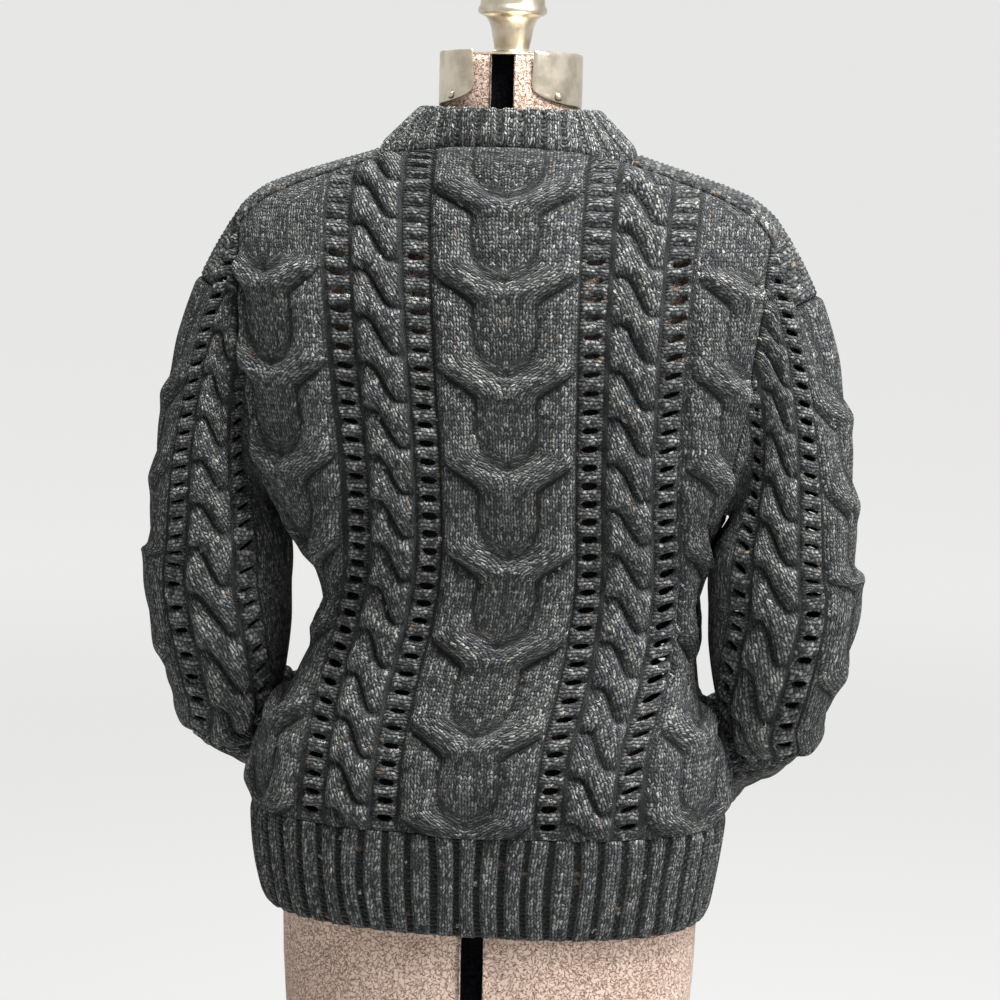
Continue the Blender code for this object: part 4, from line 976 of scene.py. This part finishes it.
def sectionNormal(side, angle, z):
    # level normal of the body's section
    half = np.pi / 2
    low, high = np.maximum(angle - 0.01, -half), np.minimum(angle + 0.01, half)
    along = torsoAt(side, high, z) - torsoAt(side, low, z)
    normal = unit(vec(-along[..., 1], along[..., 0], 0 * along[..., 0]) * side)
    atSide = (np.abs(np.abs(angle) - half) < 1e-6)[..., None]
    return np.where(atSide, vec(np.sign(angle), 0 * z, 0 * z), normal)


def makeHem(name, side):
    # ribs at equal steps round the section, leaning a little as they fall
    ribs, gap = hemSet["ribs"], bodySet["gap"]
    # columns lie at equal steps along the section, not at equal angles
    fine = np.linspace(-np.pi / 2, np.pi / 2, 4001)
    line = torsoAt(side, fine, np.full(fine.shape, 800.0))
    walked = walk(line)
    share = np.linspace(0, 1, ribs * hemSet["perRib"] + 1)
    angle = np.interp(share * walked[-1], walked, fine)[None, :]
    top = bodySet["ribTop"] - gap / 2
    z = np.linspace(bodySet["hem"], top, hemSet["levels"])[:, None] + 0 * angle
    angle = angle + 0 * z
    turns = share * ribs + 0 * z
    lean = 0.10 * np.sin(turns * 0.9) + 0.06 * np.sin(turns * 2.3 + 1)
    turns = turns + lean * np.sin((z - bodySet["hem"]) / 80 * np.pi)
    ends = np.minimum(z - bodySet["hem"], top - z)
    out = bodySet["wall"] - 0.6 + hemSet["rise"] * ribProfile(turns) * settle(ends, 10, 0.62)
    out = out - 1.3 * edgeDrop(z - bodySet["hem"], 3) - 0.7 * edgeDrop(top - z, 2)
    inner = torsoAt(side, angle, z)
    normal = sectionNormal(side, angle, z)

    def placed(distance):
        point = inner + normal * distance[..., None]
        point[..., 1] = side * np.maximum(side * point[..., 1], gap / 2)
        return point

    look = ribLook(ribProfile(turns), turns, z - bodySet["hem"])
    piece = gridPiece(name, placed(out), placed(0 * out + bodySet["inner"]), *look, yarn)
    return seat(piece, "charcoal_tweed_yarn", name)


# Shoulder straps

strapSet = dict(along=150, around=40, ridge=1.1, pitch=4.1)


def strapPoint(across, y, out):
    # crown of the shoulder carried on past the armhole, leaning over the arm
    across, y = np.broadcast_arrays(np.asarray(across, float), np.asarray(y, float))
    turn = np.interp(across, [bodySet["neckHalf"], 190, 205], [18, 24, 38])
    near = np.minimum(across, 203)
    crown = np.where(y < 0, *(shoulderHeight(side, near, np.abs(y)) for side in (-1, 1)))
    drop = ridgeHeight(near) - crown
    past = across > 205
    turn = np.where(past, np.interp(across, strapEnd["across"], strapEnd["turn"]), turn)
    ridge = np.where(past, np.interp(across, strapEnd["across"], strapEnd["height"]),
                     ridgeHeight(across))
    lean = np.where(past, np.minimum((across - 205) / 11, 1) * np.radians(turn), 0)
    spread = np.arctan2(y, 140)
    x = across - drop * np.sin(lean) + out * np.sin(np.radians(turn)) * np.cos(spread)
    z = ridge - drop * np.cos(lean) + out * np.cos(np.radians(turn)) * np.cos(spread)
    return vec(x, y + out * np.sin(spread), z)


def makeStrap(name, hand):
    # crosswise rib: a cosine along the strap
    half, start = bodySet["strapHalf"], bodySet["neckHalf"] + bodySet["gap"]
    across = np.linspace(start, strapEnd["across"][-1], strapSet["along"])[:, None]
    y = np.linspace(-half, half, strapSet["around"])[None, :]
    across, y = across + 0 * y, y + 0 * across
    line = strapPoint(across[:, 0], 0 * across[:, 0], 0)
    length = walk(line)
    along = length[:, None] + 0 * y
    ends = np.minimum(along, length[-1] - along)
    sides = half - np.abs(y)
    edge = np.minimum(ends, sides)
    out = roundedWall(edge)
    ridges = 0.5 + 0.5 * np.cos(2 * np.pi * along / strapSet["pitch"])
    out = out + strapSet["ridge"] * ridges * settle(edge, 4, 0.2)
    flip = np.array([hand, 1, 1])
    stitches = (y / knitSet["stitch"], along / strapSet["pitch"])
    # painted shade between the ridges and along the edges, a little painted highlight on the ridges
    lift = 0.45 * ridges - 0.3 - 0.6 * np.exp(-(edge / 1.8) ** 2)
    piece = gridPiece(name, strapPoint(across, y, out) * flip,
                      strapPoint(across, y, 0 * out + bodySet["inner"]) * flip, stitches,
                      0 * out, lift, yarn)
    return seat(piece, "charcoal_tweed_yarn", name)


# Neckband

neckSet = dict(ribs=38, perRib=12, levels=22, rise=3.4, topX=63.0, topY=66.0, topZ=1386.0)


def neckLine(hand):
    # the neck seam on one side of the middle, from the back's middle to the front's
    edges = []
    w = np.linspace(-110, 110, 221)
    for side in (-1, 1):
        known = panelInner(side, w, topRow(side, w)) * (hand, 1, 1)
        known = known[np.argsort(known[:, 0])]
        x, y, z = known.T
        start = [[0.0, np.interp(0, x, y), np.interp(0, x, z)]]
        between = known[(x > 1) & (x < bodySet["neckHalf"] - 2)]
        aside = side * bodySet["strapHalf"] * np.array([1, 0.5])
        corner = strapPoint(bodySet["neckHalf"], aside, 0)
        edges.append(np.concatenate([start, between, corner]))
    middle = strapPoint(bodySet["neckHalf"], np.zeros(1), 0)
    return np.concatenate([edges[0], middle, edges[1][::-1]])


def makeNeckband(name):
    # straight lines from the neck seam up to an oval ring that stands round the neck
    ribs, wall = neckSet["ribs"], bodySet["wall"]
    count = ribs * neckSet["perRib"]
    share = np.linspace(0, 2, count + 1)
    low = np.zeros((count + 1, 3))
    for hand, part in ((1, share <= 1), (-1, share > 1)):
        line = neckLine(hand)
        walked = walk(line)
        at = np.where(part, np.minimum(share, 2 - share), 0) * walked[-1]
        found = np.stack([np.interp(at, walked, line[:, k]) for k in range(3)], -1)
        low = np.where(part[:, None], found * (hand, 1, 1), low)
    inward = unit(vec(-low[:, 0], 4 - low[:, 1], 0 * low[:, 0]))
    low = low + inward * 0.3 + (0, 0, 0.6)
    turn = np.arctan2(low[:, 0] / neckSet["topX"], (4 - low[:, 1]) / neckSet["topY"])
    forward = np.clip(-np.cos(turn), 0, 1)
    top = vec(neckSet["topX"] * np.sin(turn), 4 - neckSet["topY"] * np.cos(turn),
              neckSet["topZ"] - 66 * forward ** 1.6)
    level = np.linspace(0, 1, neckSet["levels"])[:, None]
    tilt = 0.65 - 0.35 * inward[:, 0] ** 2 * (1 - level)
    lean = vec(0, 0, np.sqrt(1 - tilt ** 2)) - inward[None] * tilt[..., None]
    turns = share[None, :] * ribs / 2 + 0 * level
    length = np.linalg.norm(top - low, axis=1)[None, :]
    up = level * length
    ends = np.minimum(up, length - up)
    crest = ribProfile(turns, 1.0)
    out = wall + neckSet["rise"] * crest * settle(ends, 6, 0.45)
    out = out - 1.2 * edgeDrop(length - up, 2.5) - 1.2 * edgeDrop(up, 2.5)
    base = low[None] + (top - low)[None] * level[..., None]
    points, deep = base + lean * out[..., None], base + lean * bodySet["inner"]
    stitches, kind, _ = ribLook(crest, turns, up)
    # painted highlight: lift past 1 paints the whole band lighter, crests most; painted shade in
    # the valleys
    piece = gridPiece(name, points, deep, stitches, kind, 1.75 * crest - 0.2, yarn, wrap=True)
    return seat(piece, "charcoal_tweed_yarn", name)


# Sleeves

sleeveSet = dict(step=69 / 45, fine=1.7, coarse=2.3, cuff=60.0, capCorner=57.0,
                 strapCorner=27.0, foreShift=4, foreOpening=0.3, outerHalf=54.0)
# how far the rear ladders open and how high the outer horseshoes stand, by hand
sleeveLook = {1: dict(opening=0.8, relief=0.72), -1: dict(opening=0.55, relief=0.56)}
pathCentres = np.column_stack([sleevePath[name] for name in "xyz"])
pathDown = walk(pathCentres)
capRow = pathDown[-1] - sleeveSet["cuff"]


def armSizes(hand, down):
    # centre and half sizes of the arm at a distance down it; the left arm hangs lower
    sizes = {name: curve(down, pathDown, values) for name, values in sleevePath.items()}
    if hand < 0:
        sizes["z"] = sizes["z"] - sizes["leftDrop"]
        sizes["x"] = sizes["x"] + sizes["leftOut"]
    return sizes


def halfRound(at):
    # half the way round the arm's oval
    return np.pi * np.sqrt((at["halfOut"] ** 2 + at["halfBack"] ** 2) / 2)


def armFold(half, down, turn):
    # slack bands round the elbow, each a bell down and round the arm
    degrees = -half * np.degrees(turn)
    total = 0.0
    for along, around, length, breadth, depth in zip(*sleeveFolds.values()):
        apart = (degrees - around + 180) % 360 - 180
        total = total + depth * np.exp(-((down - along) / length) ** 2 - (apart / breadth) ** 2)
    return total


def armRing(hand, half, w, down, out):
    # oval ring square to the arm's line; w is the distance round it from the outer line
    at, ahead, behind = (armSizes(hand, down + step) for step in (0, 2, -2))
    tangent = unit(vec(*[ahead[k] - behind[k] for k in "xyz"]))
    back = unit(np.array([0, -1.0, 0]) + tangent * tangent[..., 1:2])
    outward = np.cross(back, tangent)
    around = halfRound(at)
    end, edge = bodySet["layoutEnd"], bodySet["sleeveEdge"]
    fit = np.minimum(1, (around - 3) / end)
    share = (w - end) / (edge - end)
    turn = np.where(w <= end, np.pi * w * fit / around,
                    np.pi * (end * fit / around * (1 - share) + share))
    swell = out + armFold(half, down, turn)
    aside = np.cos(turn) * (at["halfOut"] + swell)
    behindLine = np.sin(turn) * (at["halfBack"] + swell) * -half
    centre = vec(at["x"], at["y"], at["z"])
    return centre + outward * aside[..., None] + back * behindLine[..., None]


def armSeam(half, w, out):
    # the armhole seam: end of the strap, its side, then the panel's edge
    gap, end = bodySet["gap"], float(strapEnd["across"][-1])
    reach = bodySet["strapHalf"] + 5 * gap
    corner, cap = sleeveSet["strapCorner"], sleeveSet["capCorner"]
    w, out = np.broadcast_arrays(np.asarray(w, float), np.asarray(out, float))
    atEnd = strapPoint(end, half * np.clip(w / corner, 0, 1) * reach, out)
    atEnd = atEnd + np.array([0.45, 0, -0.89]) * 2 * gap
    across = end + (205 - end) * np.clip((w - corner) / (cap - corner), 0, 1)
    atSide = strapPoint(across, half * reach, out)
    share = np.clip((w - cap) / (bodySet["sleeveEdge"] - cap), 0, 1)
    lowest = heightRow(half, bodySet["underarm"])
    highest = topRow(half, np.array(bodySet["panelEdge"]))
    s = highest + (lowest - highest) * share
    edgeW = np.full(s.shape, bodySet["panelEdge"])
    edge = panelInner(half, edgeW, s)
    along = panelInner(half, edgeW, s + 2) - edge
    normal = panelNormal(half, edgeW, s)
    away = np.cross(normal, along)
    away = unit(away) * np.sign(away[..., :1]) * 3 * gap
    point = edge + away + normal * out[..., None]
    point[..., 1] += np.maximum(1 - 8 * share, 0) * half
    nearArmpit = np.maximum(share - 0.9, 0) / 0.1
    point[..., 2] += (3.4 - 2.2 * out / bodySet["wall"]) * nearArmpit
    point[..., 1] = half * np.maximum(half * point[..., 1], 0)
    onSide = np.where((w < cap)[..., None], atSide, point)
    return np.where((w <= corner)[..., None], atEnd, onSide)


def armPoint(hand, half, w, s, out, capLength):
    # below the first full ring the arm's ring, above it a smooth curve up to the seam
    down = capRow - s
    edge = bodySet["sleeveEdge"]
    on = armRing(hand, half, w, np.maximum(down, 0), out)
    low, high = armRing(hand, half, w, 0 * s, out), armSeam(half, w + 0 * s, out)
    span = high - low
    length = np.linalg.norm(span, axis=-1)
    t = np.clip(-down / capLength, 0, 1)[..., None]
    armpit = np.clip((w - 140) / 27, 0, 1)
    reach = length + (18 + 0.3 * length - 4.5 * out - length) * armpit
    rise = unit(low - armRing(hand, half, w, 6 + 0 * s, out)) * reach[..., None]
    lean = span / np.maximum(length, 1e-6)[..., None] + np.array([-0.55, 0, 0.8])
    over = vec(-0.85 + 0 * reach, 0.3 * half * (w < edge) + 0 * reach, -0.4)
    lean = unit(lean) * (1 - armpit)[..., None] + over * armpit[..., None]
    lean = lean * reach[..., None]
    cap = ((1 + 2 * t) * (1 - t) ** 2 * low + t * (1 - t) ** 2 * rise
           + t * t * (3 - 2 * t) * high + t * t * (t - 1) * lean)
    return np.where((down >= 0)[..., None], on, cap) * (hand, 1, 1)


def makeSleeve(word, hand):
    # two half tubes of columns and rows, joined on the outer line and underneath
    step, edge = sleeveSet["step"], bodySet["sleeveEdge"]
    columns = columnPlaces(edge, sleeveSet["fine"], sleeveSet["coarse"])[None, :]
    parts = []
    start = firstCell
    first = start - step * np.floor(start / step - 0.3)
    for half in (-1, 1):
        zero = np.zeros(columns.shape)
        capLength = 1.04 * np.linalg.norm(
            armSeam(half, columns, zero) - armRing(hand, half, columns, zero, zero), axis=-1)
        parts.append((half, capLength, capRow + capLength))
    levels = max(part[2].max() for part in parts)
    levels = np.concatenate([[0.0], np.arange(first, levels + step, step)])[:, None]
    grids = []
    for half, capLength, tops in parts:
        s = np.minimum(levels, tops)
        limits = (start - 1, tops.min() + 150)
        laceStart = start + (sleeveSet["foreShift"] * step if half > 0 else 0)
        opening = sleeveSet["foreOpening"] if half > 0 else sleeveLook[hand]["opening"]
        rows = np.minimum(lensRows(columns, s, laceStart, limits, opening), tops)
        rise, p, q, kind = stitchWork(columns, rows, laceStart - start, hand * half, False,
                                      tops[0, 0])
        rise = rise * np.where(columns < sleeveSet["outerHalf"], sleeveLook[hand]["relief"], 1.0)
        fromTop = (tops - rows) * np.where(columns > 150, 0.7, 1.0)
        rise = rise * settle(fromTop, 6, 0.1) * settle(rows, 6, 0.0)
        seam = np.minimum(fromTop, rows)
        out = roundedWall(seam) + rise
        w = columns + 0 * rows
        points = armPoint(hand, half, w, rows, out, capLength)
        inner = np.maximum(out - panelSet["rim"], bodySet["inner"])
        deep = armPoint(hand, half, w, rows, inner, capLength)
        gaps = openCells(columns, levels + 0 * columns, laceStart, (laceStart - 1, levels.max()))
        gaps &= (s[1:, 1:] < tops[:, 1:] - 14) & (s[1:, :-1] < tops[:, :-1] - 14)
        # painted shade in hollows and along the cap seam, painted highlight on crests
        lift = paintedShadeOf(rise, 5) - 0.8 * np.exp(-(fromTop / 1.8) ** 2)
        grids.append((points, deep, p * np.sign(half), q, kind, lift, stacked(s), gaps))
    rear, fore = grids

    def joined(k):
        return np.concatenate([rear[k][:, ::-1], fore[k][:, 1:]], axis=1)

    gaps = np.concatenate([rear[7][:, ::-1], fore[7]], axis=1)
    piece = gridPiece(f"sleeve_{word}", joined(0), joined(1), (joined(2), joined(3)), joined(4),
                      joined(5), yarn, gaps, joined(6), wrap=True)
    return seat(piece, "charcoal_tweed_yarn", f"sleeve_{word}_rear", f"sleeve_{word}_fore")


cuffSet = dict(ribs=13, perRib=14, levels=26, rise=3.2)


def makeCuff(word, hand):
    # ribbed tube that carries the arm's rings on to the wrist
    count = cuffSet["ribs"] * cuffSet["perRib"]
    down = np.linspace(capRow + bodySet["gap"], pathDown[-1], cuffSet["levels"])[:, None]
    turn = np.linspace(0, 2 * np.pi, count + 1)[None, :]
    at = armSizes(hand, down)
    around = halfRound(at)
    end, edge = bodySet["layoutEnd"], bodySet["sleeveEdge"]
    fit = np.minimum(1, (around - 3) / end)
    split = end * fit / around
    share = np.minimum(turn, 2 * np.pi - turn) / np.pi
    w = np.where(share <= split, share * around / fit,
                 end + (share - split) / (1 - split) * (edge - end))
    turns = turn / (2 * np.pi) * cuffSet["ribs"] + 0 * down
    along = down - down[0] + 0 * turn
    ends = np.minimum(along, along.max() - along)
    crest = ribProfile(turns)
    out = bodySet["wall"] - 0.6 + cuffSet["rise"] * crest * settle(ends, 8, 0.5)
    out = out - 1.2 * edgeDrop(ends, 2.5)

    def placed(distance):
        rear = armRing(hand, -1, w, down + 0 * w, distance)
        fore = armRing(hand, 1, w, down + 0 * w, distance)
        return np.where((turn <= np.pi)[..., None], rear, fore) * (hand, 1, 1)

    piece = gridPiece(f"cuff_{word}", placed(out), placed(0 * out + bodySet["inner"]),
                      *ribLook(crest, turns, along), yarn, wrap=True)
    return seat(piece, "charcoal_tweed_yarn", f"cuff_{word}")


# Dress form and its metalwork

bodyForm = dict(neck=53.0, neckTop=1427.0, bottom=600.0, slotHalf=8.5, slotDepth=9.0,
                around=220, levels=150, coveredFrom=1150.0, coveredTo=1352.0, clear=4.8,
                least=0.4)
formBox = table("height boxiness", (600, 2.35), (1320, 2.35), (1350, 2.1), (1378, 2.0),
                (1427, 2.0))


def formRings():
    # rows of height, half width, back and front from hip to neck
    def sizes(z):
        return np.array([curve(float(z), formSize["height"], formSize[k])
                         for k in ("halfWidth", "back", "front")])

    bottom = bodyForm["bottom"]
    rings = [(bottom, *(sizes(bottom) - 5))]
    rings += [(z, *sizes(z)) for z in (606, 640, 680, 720, 765, 800, 850, 890, 920, 955, 985,
                                       1015, 1040, 1075, 1110, 1140, 1160, 1190, 1220, 1250,
                                       1270, 1290, 1300)]
    ridgeX = np.linspace(bodySet["neckHalf"], 192, 60)
    ridgeZ = ridgeHeight(ridgeX) - 0.8
    for z, back, front in ((1318, 68, 62), (1330, 63, 56), (1341, 58, 52), (1350, 54, 51)):
        rings.append((z, np.interp(z, ridgeZ[::-1], ridgeX[::-1]) - 1.5, back, front))
    rings += [(1359, 77, 52, 51), (1368, 60, 52, 52), (1378, 53, 53, 53),
              (bodyForm["neckTop"], 53, 53, 53)]
    return np.array(rings, float)


def makeForm(name):
    # boxy oval rings, drawn in under the shoulders, with the open seam down the back
    rings = formRings()
    known = rings[:, 0]
    even = np.linspace(bodyForm["bottom"], bodyForm["neckTop"], bodyForm["levels"])
    z = np.unique(np.concatenate([even, known]))[:, None]
    half, back, front = (np.interp(z, known, rings[:, k]) for k in (1, 2, 3))
    box = np.interp(z, formBox["height"], formBox["boxiness"])
    slot, deep = bodyForm["slotHalf"], bodyForm["slotDepth"]
    turn = np.linspace(0, 2 * np.pi, bodyForm["around"] + 1)[None, 1:-1]
    grow = 2 / box
    sine, cosine = np.sin(turn), np.cos(turn)
    x = half * np.sign(sine) * np.abs(sine) ** grow
    y = -np.where(cosine > 0, back, front) * np.sign(cosine) * np.abs(cosine) ** grow
    covered = (z >= bodyForm["coveredFrom"]) & (z <= bodyForm["coveredTo"])

    def room(side, x):
        # depth left under the cloth at x
        under = np.abs(torsoAt(side, halfAngle(x, z), z)[..., 1]) - bodyForm["clear"]
        return np.maximum(under, bodyForm["least"])

    side = np.where(y < 0, -1, 1)
    near = np.where(y < 0, room(-1, x), room(1, x))
    y = np.where(covered & (np.abs(x) >= 1), side * np.minimum(np.abs(y), near), y)
    backLine = (y < 0) & (np.abs(x) < slot)
    x = np.where(backLine, slot * np.sign(x), x)
    lipY = -back + 0.4
    lipY = np.where(covered, -np.minimum(-lipY, room(-1, np.full(z.shape, slot))), lipY)
    y = np.where(backLine, lipY, y)
    ones = np.ones(z.shape)
    lipX = np.concatenate([slot * ones, slot * ones, (slot + 1.2) * ones], axis=1)
    lipLine = np.concatenate([lipY + deep, lipY + 1.0, lipY - 0.2], axis=1)
    x = np.concatenate([lipX, x, -lipX[:, ::-1], lipX[:, :1]], axis=1)
    y = np.concatenate([lipLine, y, lipLine[:, ::-1], lipLine[:, :1]], axis=1)
    points = vec(x, y, z + 0 * x)
    # painted shade on the cover under the sweater, from 790 up to about 1250
    lift = -0.9 * smooth((z - 790) / 25) * smooth((1250 - z) / 90) + 0 * x
    inside = points * np.array([0.97, 0.97, 1.0])
    piece = gridPiece(name, points, inside, None, None, lift, cover, wrap=True, rimmed=False)
    # the two cheeks and the floor of the open seam take near-black faces, painted shade in the seam
    piece.data.materials.append(slotShade)
    wide = points.shape[1] - 1
    slotShadeFaces = np.zeros((len(z) - 1, wide), np.int32)
    slotShadeFaces[:, [0, 1, wide - 2, wide - 1]] = 1
    piece.data.polygons.foreach_set("material_index", slotShadeFaces.ravel())
    closeEnds(piece.data)
    return seat(piece, "boucle_cover", name)


def closeEnds(mesh):
    # fills every free ring of edges with one face of the piece's first material
    bm = bmesh.new()
    bm.from_mesh(mesh)
    filled = bmesh.ops.holes_fill(bm, edges=[e for e in bm.edges if e.is_boundary], sides=0)
    for face in filled["faces"]:
        face.material_index = 0
    bmesh.ops.recalc_face_normals(bm, faces=bm.faces)
    bm.to_mesh(mesh)
    bm.free()


def turnedPiece(name, profile, segments, material, slotName):
    # a profile of radius and height carried round the middle line, ends closed
    profile = np.array(profile, float)
    turn = np.linspace(0, 2 * np.pi, segments + 1)[None, :]
    radius, z = profile[:, :1], profile[:, 1:2]
    points = vec(radius * np.cos(turn), radius * np.sin(turn), z + 0 * turn)
    piece = gridPiece(name, points, points * np.array([0.9, 0.9, 1.0]), None, None, None,
                      material, wrap=True, rimmed=False)
    closeEnds(piece.data)
    piece.data.shade_smooth()
    piece.data.set_sharp_from_angle(angle=np.radians(32))
    return seat(piece, slotName, name)


def roundedProfile(marks, steps=5, radius=0.8):
    # replaces each inner corner of a profile with a short curve through its neighbours
    marks = np.array(marks, float)
    found = [marks[0]]
    t = np.linspace(0, 1, steps)[:, None]
    for before, corner, after in zip(marks, marks[1:], marks[2:]):
        reach = [min(radius, np.linalg.norm(end - corner) * 0.45) for end in (before, after)]
        a = corner + unit(before - corner) * reach[0]
        b = corner + unit(after - corner) * reach[1]
        found += list((1 - t) ** 2 * a + 2 * t * (1 - t) * corner + t ** 2 * b)
    return np.array(found + [marks[-1]])


plateSet = dict(reach=66.0, side=23.0, round=16.0, above=2.6, flare=2.6, thickness=1.2,
                along=72, levels=26)


def makePlate(word, hand):
    # half-round tab bent over the neck; the edge is rolled by a quarter circle
    across = np.linspace(-1, 1, plateSet["along"] + 1)[None, :]
    lift = np.linspace(0, 1, plateSet["levels"])[:, None]
    turn = np.radians(plateSet["reach"]) * across
    low = (bodyForm["neckTop"] - plateSet["side"]
           - plateSet["round"] * np.sqrt(np.clip(1 - across ** 2, 0, 1)))
    high = bodyForm["neckTop"] + plateSet["above"] * (1 + 0.5 * np.abs(across))
    z = low + (high - low) * lift
    radius = bodyForm["neck"] + 0.6 + plateSet["thickness"]
    edge = np.minimum(z - low, high - z)
    edge = np.minimum(edge, (1 - np.abs(across)) * 70 + 0 * z)
    flare = plateSet["flare"] * smooth((np.abs(across) - 0.55) / 0.45) * smooth(lift)
    r = radius - 0.7 * (1 - roundEdge(edge, 1.2)) + flare

    def placed(size):
        return vec(hand * size * np.cos(turn), size * np.sin(turn) + 0 * size, z)

    piece = gridPiece(f"neck_plate_{word}", placed(r), placed(radius - 1.1 + flare), None, None,
                      None, nickel)
    return seat(piece, "nickel_plate", f"neck_plate_{word}")


rivetSet = dict(radius=3.4, height=2.0, out=2.1, below=30.0)


def makeRivet(word, edge, hand, degrees):
    # domed head: a quarter circle carried round, set square to the neck
    t = np.linspace(0, np.pi / 2, 9)[:, None]
    turn = np.linspace(0, 2 * np.pi, 33)[None, :]
    flat, high = rivetSet["radius"] * np.cos(t), rivetSet["height"] * np.sin(t)
    a = np.radians(degrees)
    out = np.array([hand * np.cos(a), np.sin(a), 0])
    aside = np.array([-out[1], out[0], 0])
    centre = (bodyForm["neck"] + rivetSet["out"]) * out
    centre = centre + (0, 0, bodyForm["neckTop"] - rivetSet["below"])
    points = (centre + (flat * np.cos(turn))[..., None] * aside
              + (flat * np.sin(turn))[..., None] * np.array([0, 0, 1.0])
              + (high + 0 * turn)[..., None] * out)
    name = f"rivet_{word}_{edge}"
    piece = gridPiece(name, points, points - out * 0.5, None, None, None, nickel, wrap=True,
                      rimmed=False)
    closeEnds(piece.data)
    return seat(piece, "nickel_plate", name)


# Build

bpy.context.scene.view_settings.view_transform = "Standard"
addCamera()
addStage()
yarn, cover, slotShade = makeYarn(), makeCover(), makeSlotShade()
nickel, iron = makeNickel(), makeIron()
print("camera, stage and materials ready")

back = makePanel("back", -1, panelSet["backStep"], panelSet["backFine"], panelSet["backCoarse"])
print("back", len(back.data.polygons))
front = makePanel("front", 1, panelSet["frontStep"], panelSet["frontFine"],
                  panelSet["frontCoarse"])
hemBack, hemFront = makeHem("hem_back", -1), makeHem("hem_front", 1)
print("front and hems")
neckband = makeNeckband("neckband")
straps = {word: makeStrap(f"shoulder_strap_{word}", hand)
          for word, hand in (("right", 1), ("left", -1))}
sleeves = {word: makeSleeve(word, hand) for word, hand in (("right", 1), ("left", -1))}
cuffs = {word: makeCuff(word, hand) for word, hand in (("right", 1), ("left", -1))}
print("sleeves", [len(piece.data.polygons) for piece in sleeves.values()])

form = makeForm("form_body")
capZ = bodyForm["neckTop"] + 0.3
capMarks = [(0.5, 0), (50, 0), (50, 1.6), (0.5, 1.6)]
turnedPiece("neck_cap", roundedProfile([(r, capZ + z) for r, z in capMarks], 5, 0.6), 96,
            nickel, "nickel_plate")
knobZ = capZ + 1.9
knobMarks = [(0.5, 0), (15, 0), (15, 1.6), (13.2, 2.4), (13.9, 7), (15.2, 13), (16.2, 19),
             (17.9, 24), (20.5, 27.5), (25.0, 29.2), (26.4, 31), (26.4, 33.5), (25.2, 35.5),
             (24.6, 37), (24.6, 54), (20, 61), (11, 66), (0.5, 67.2)]
turnedPiece("top_knob", roundedProfile([(r, knobZ + z) for r, z in knobMarks], 7, 2.5), 96,
            nickel, "nickel_plate")
turnedPiece("stand_pole", [(14, 22.3), (14, 599.7)], 64, iron, "dark_painted_iron")
turnedPiece("stand_base", roundedProfile([(0.5, 0), (187, 0), (190, 3), (190, 9), (176, 15),
                                          (40, 22), (0.5, 22)], 6, 2.5), 128, iron,
            "dark_painted_iron")
for word, hand in (("right", 1), ("left", -1)):
    makePlate(word, hand)
    for edge, degrees in (("rear", -42), ("fore", 42)):
        makeRivet(word, edge, hand, degrees)
print("form and metalwork")
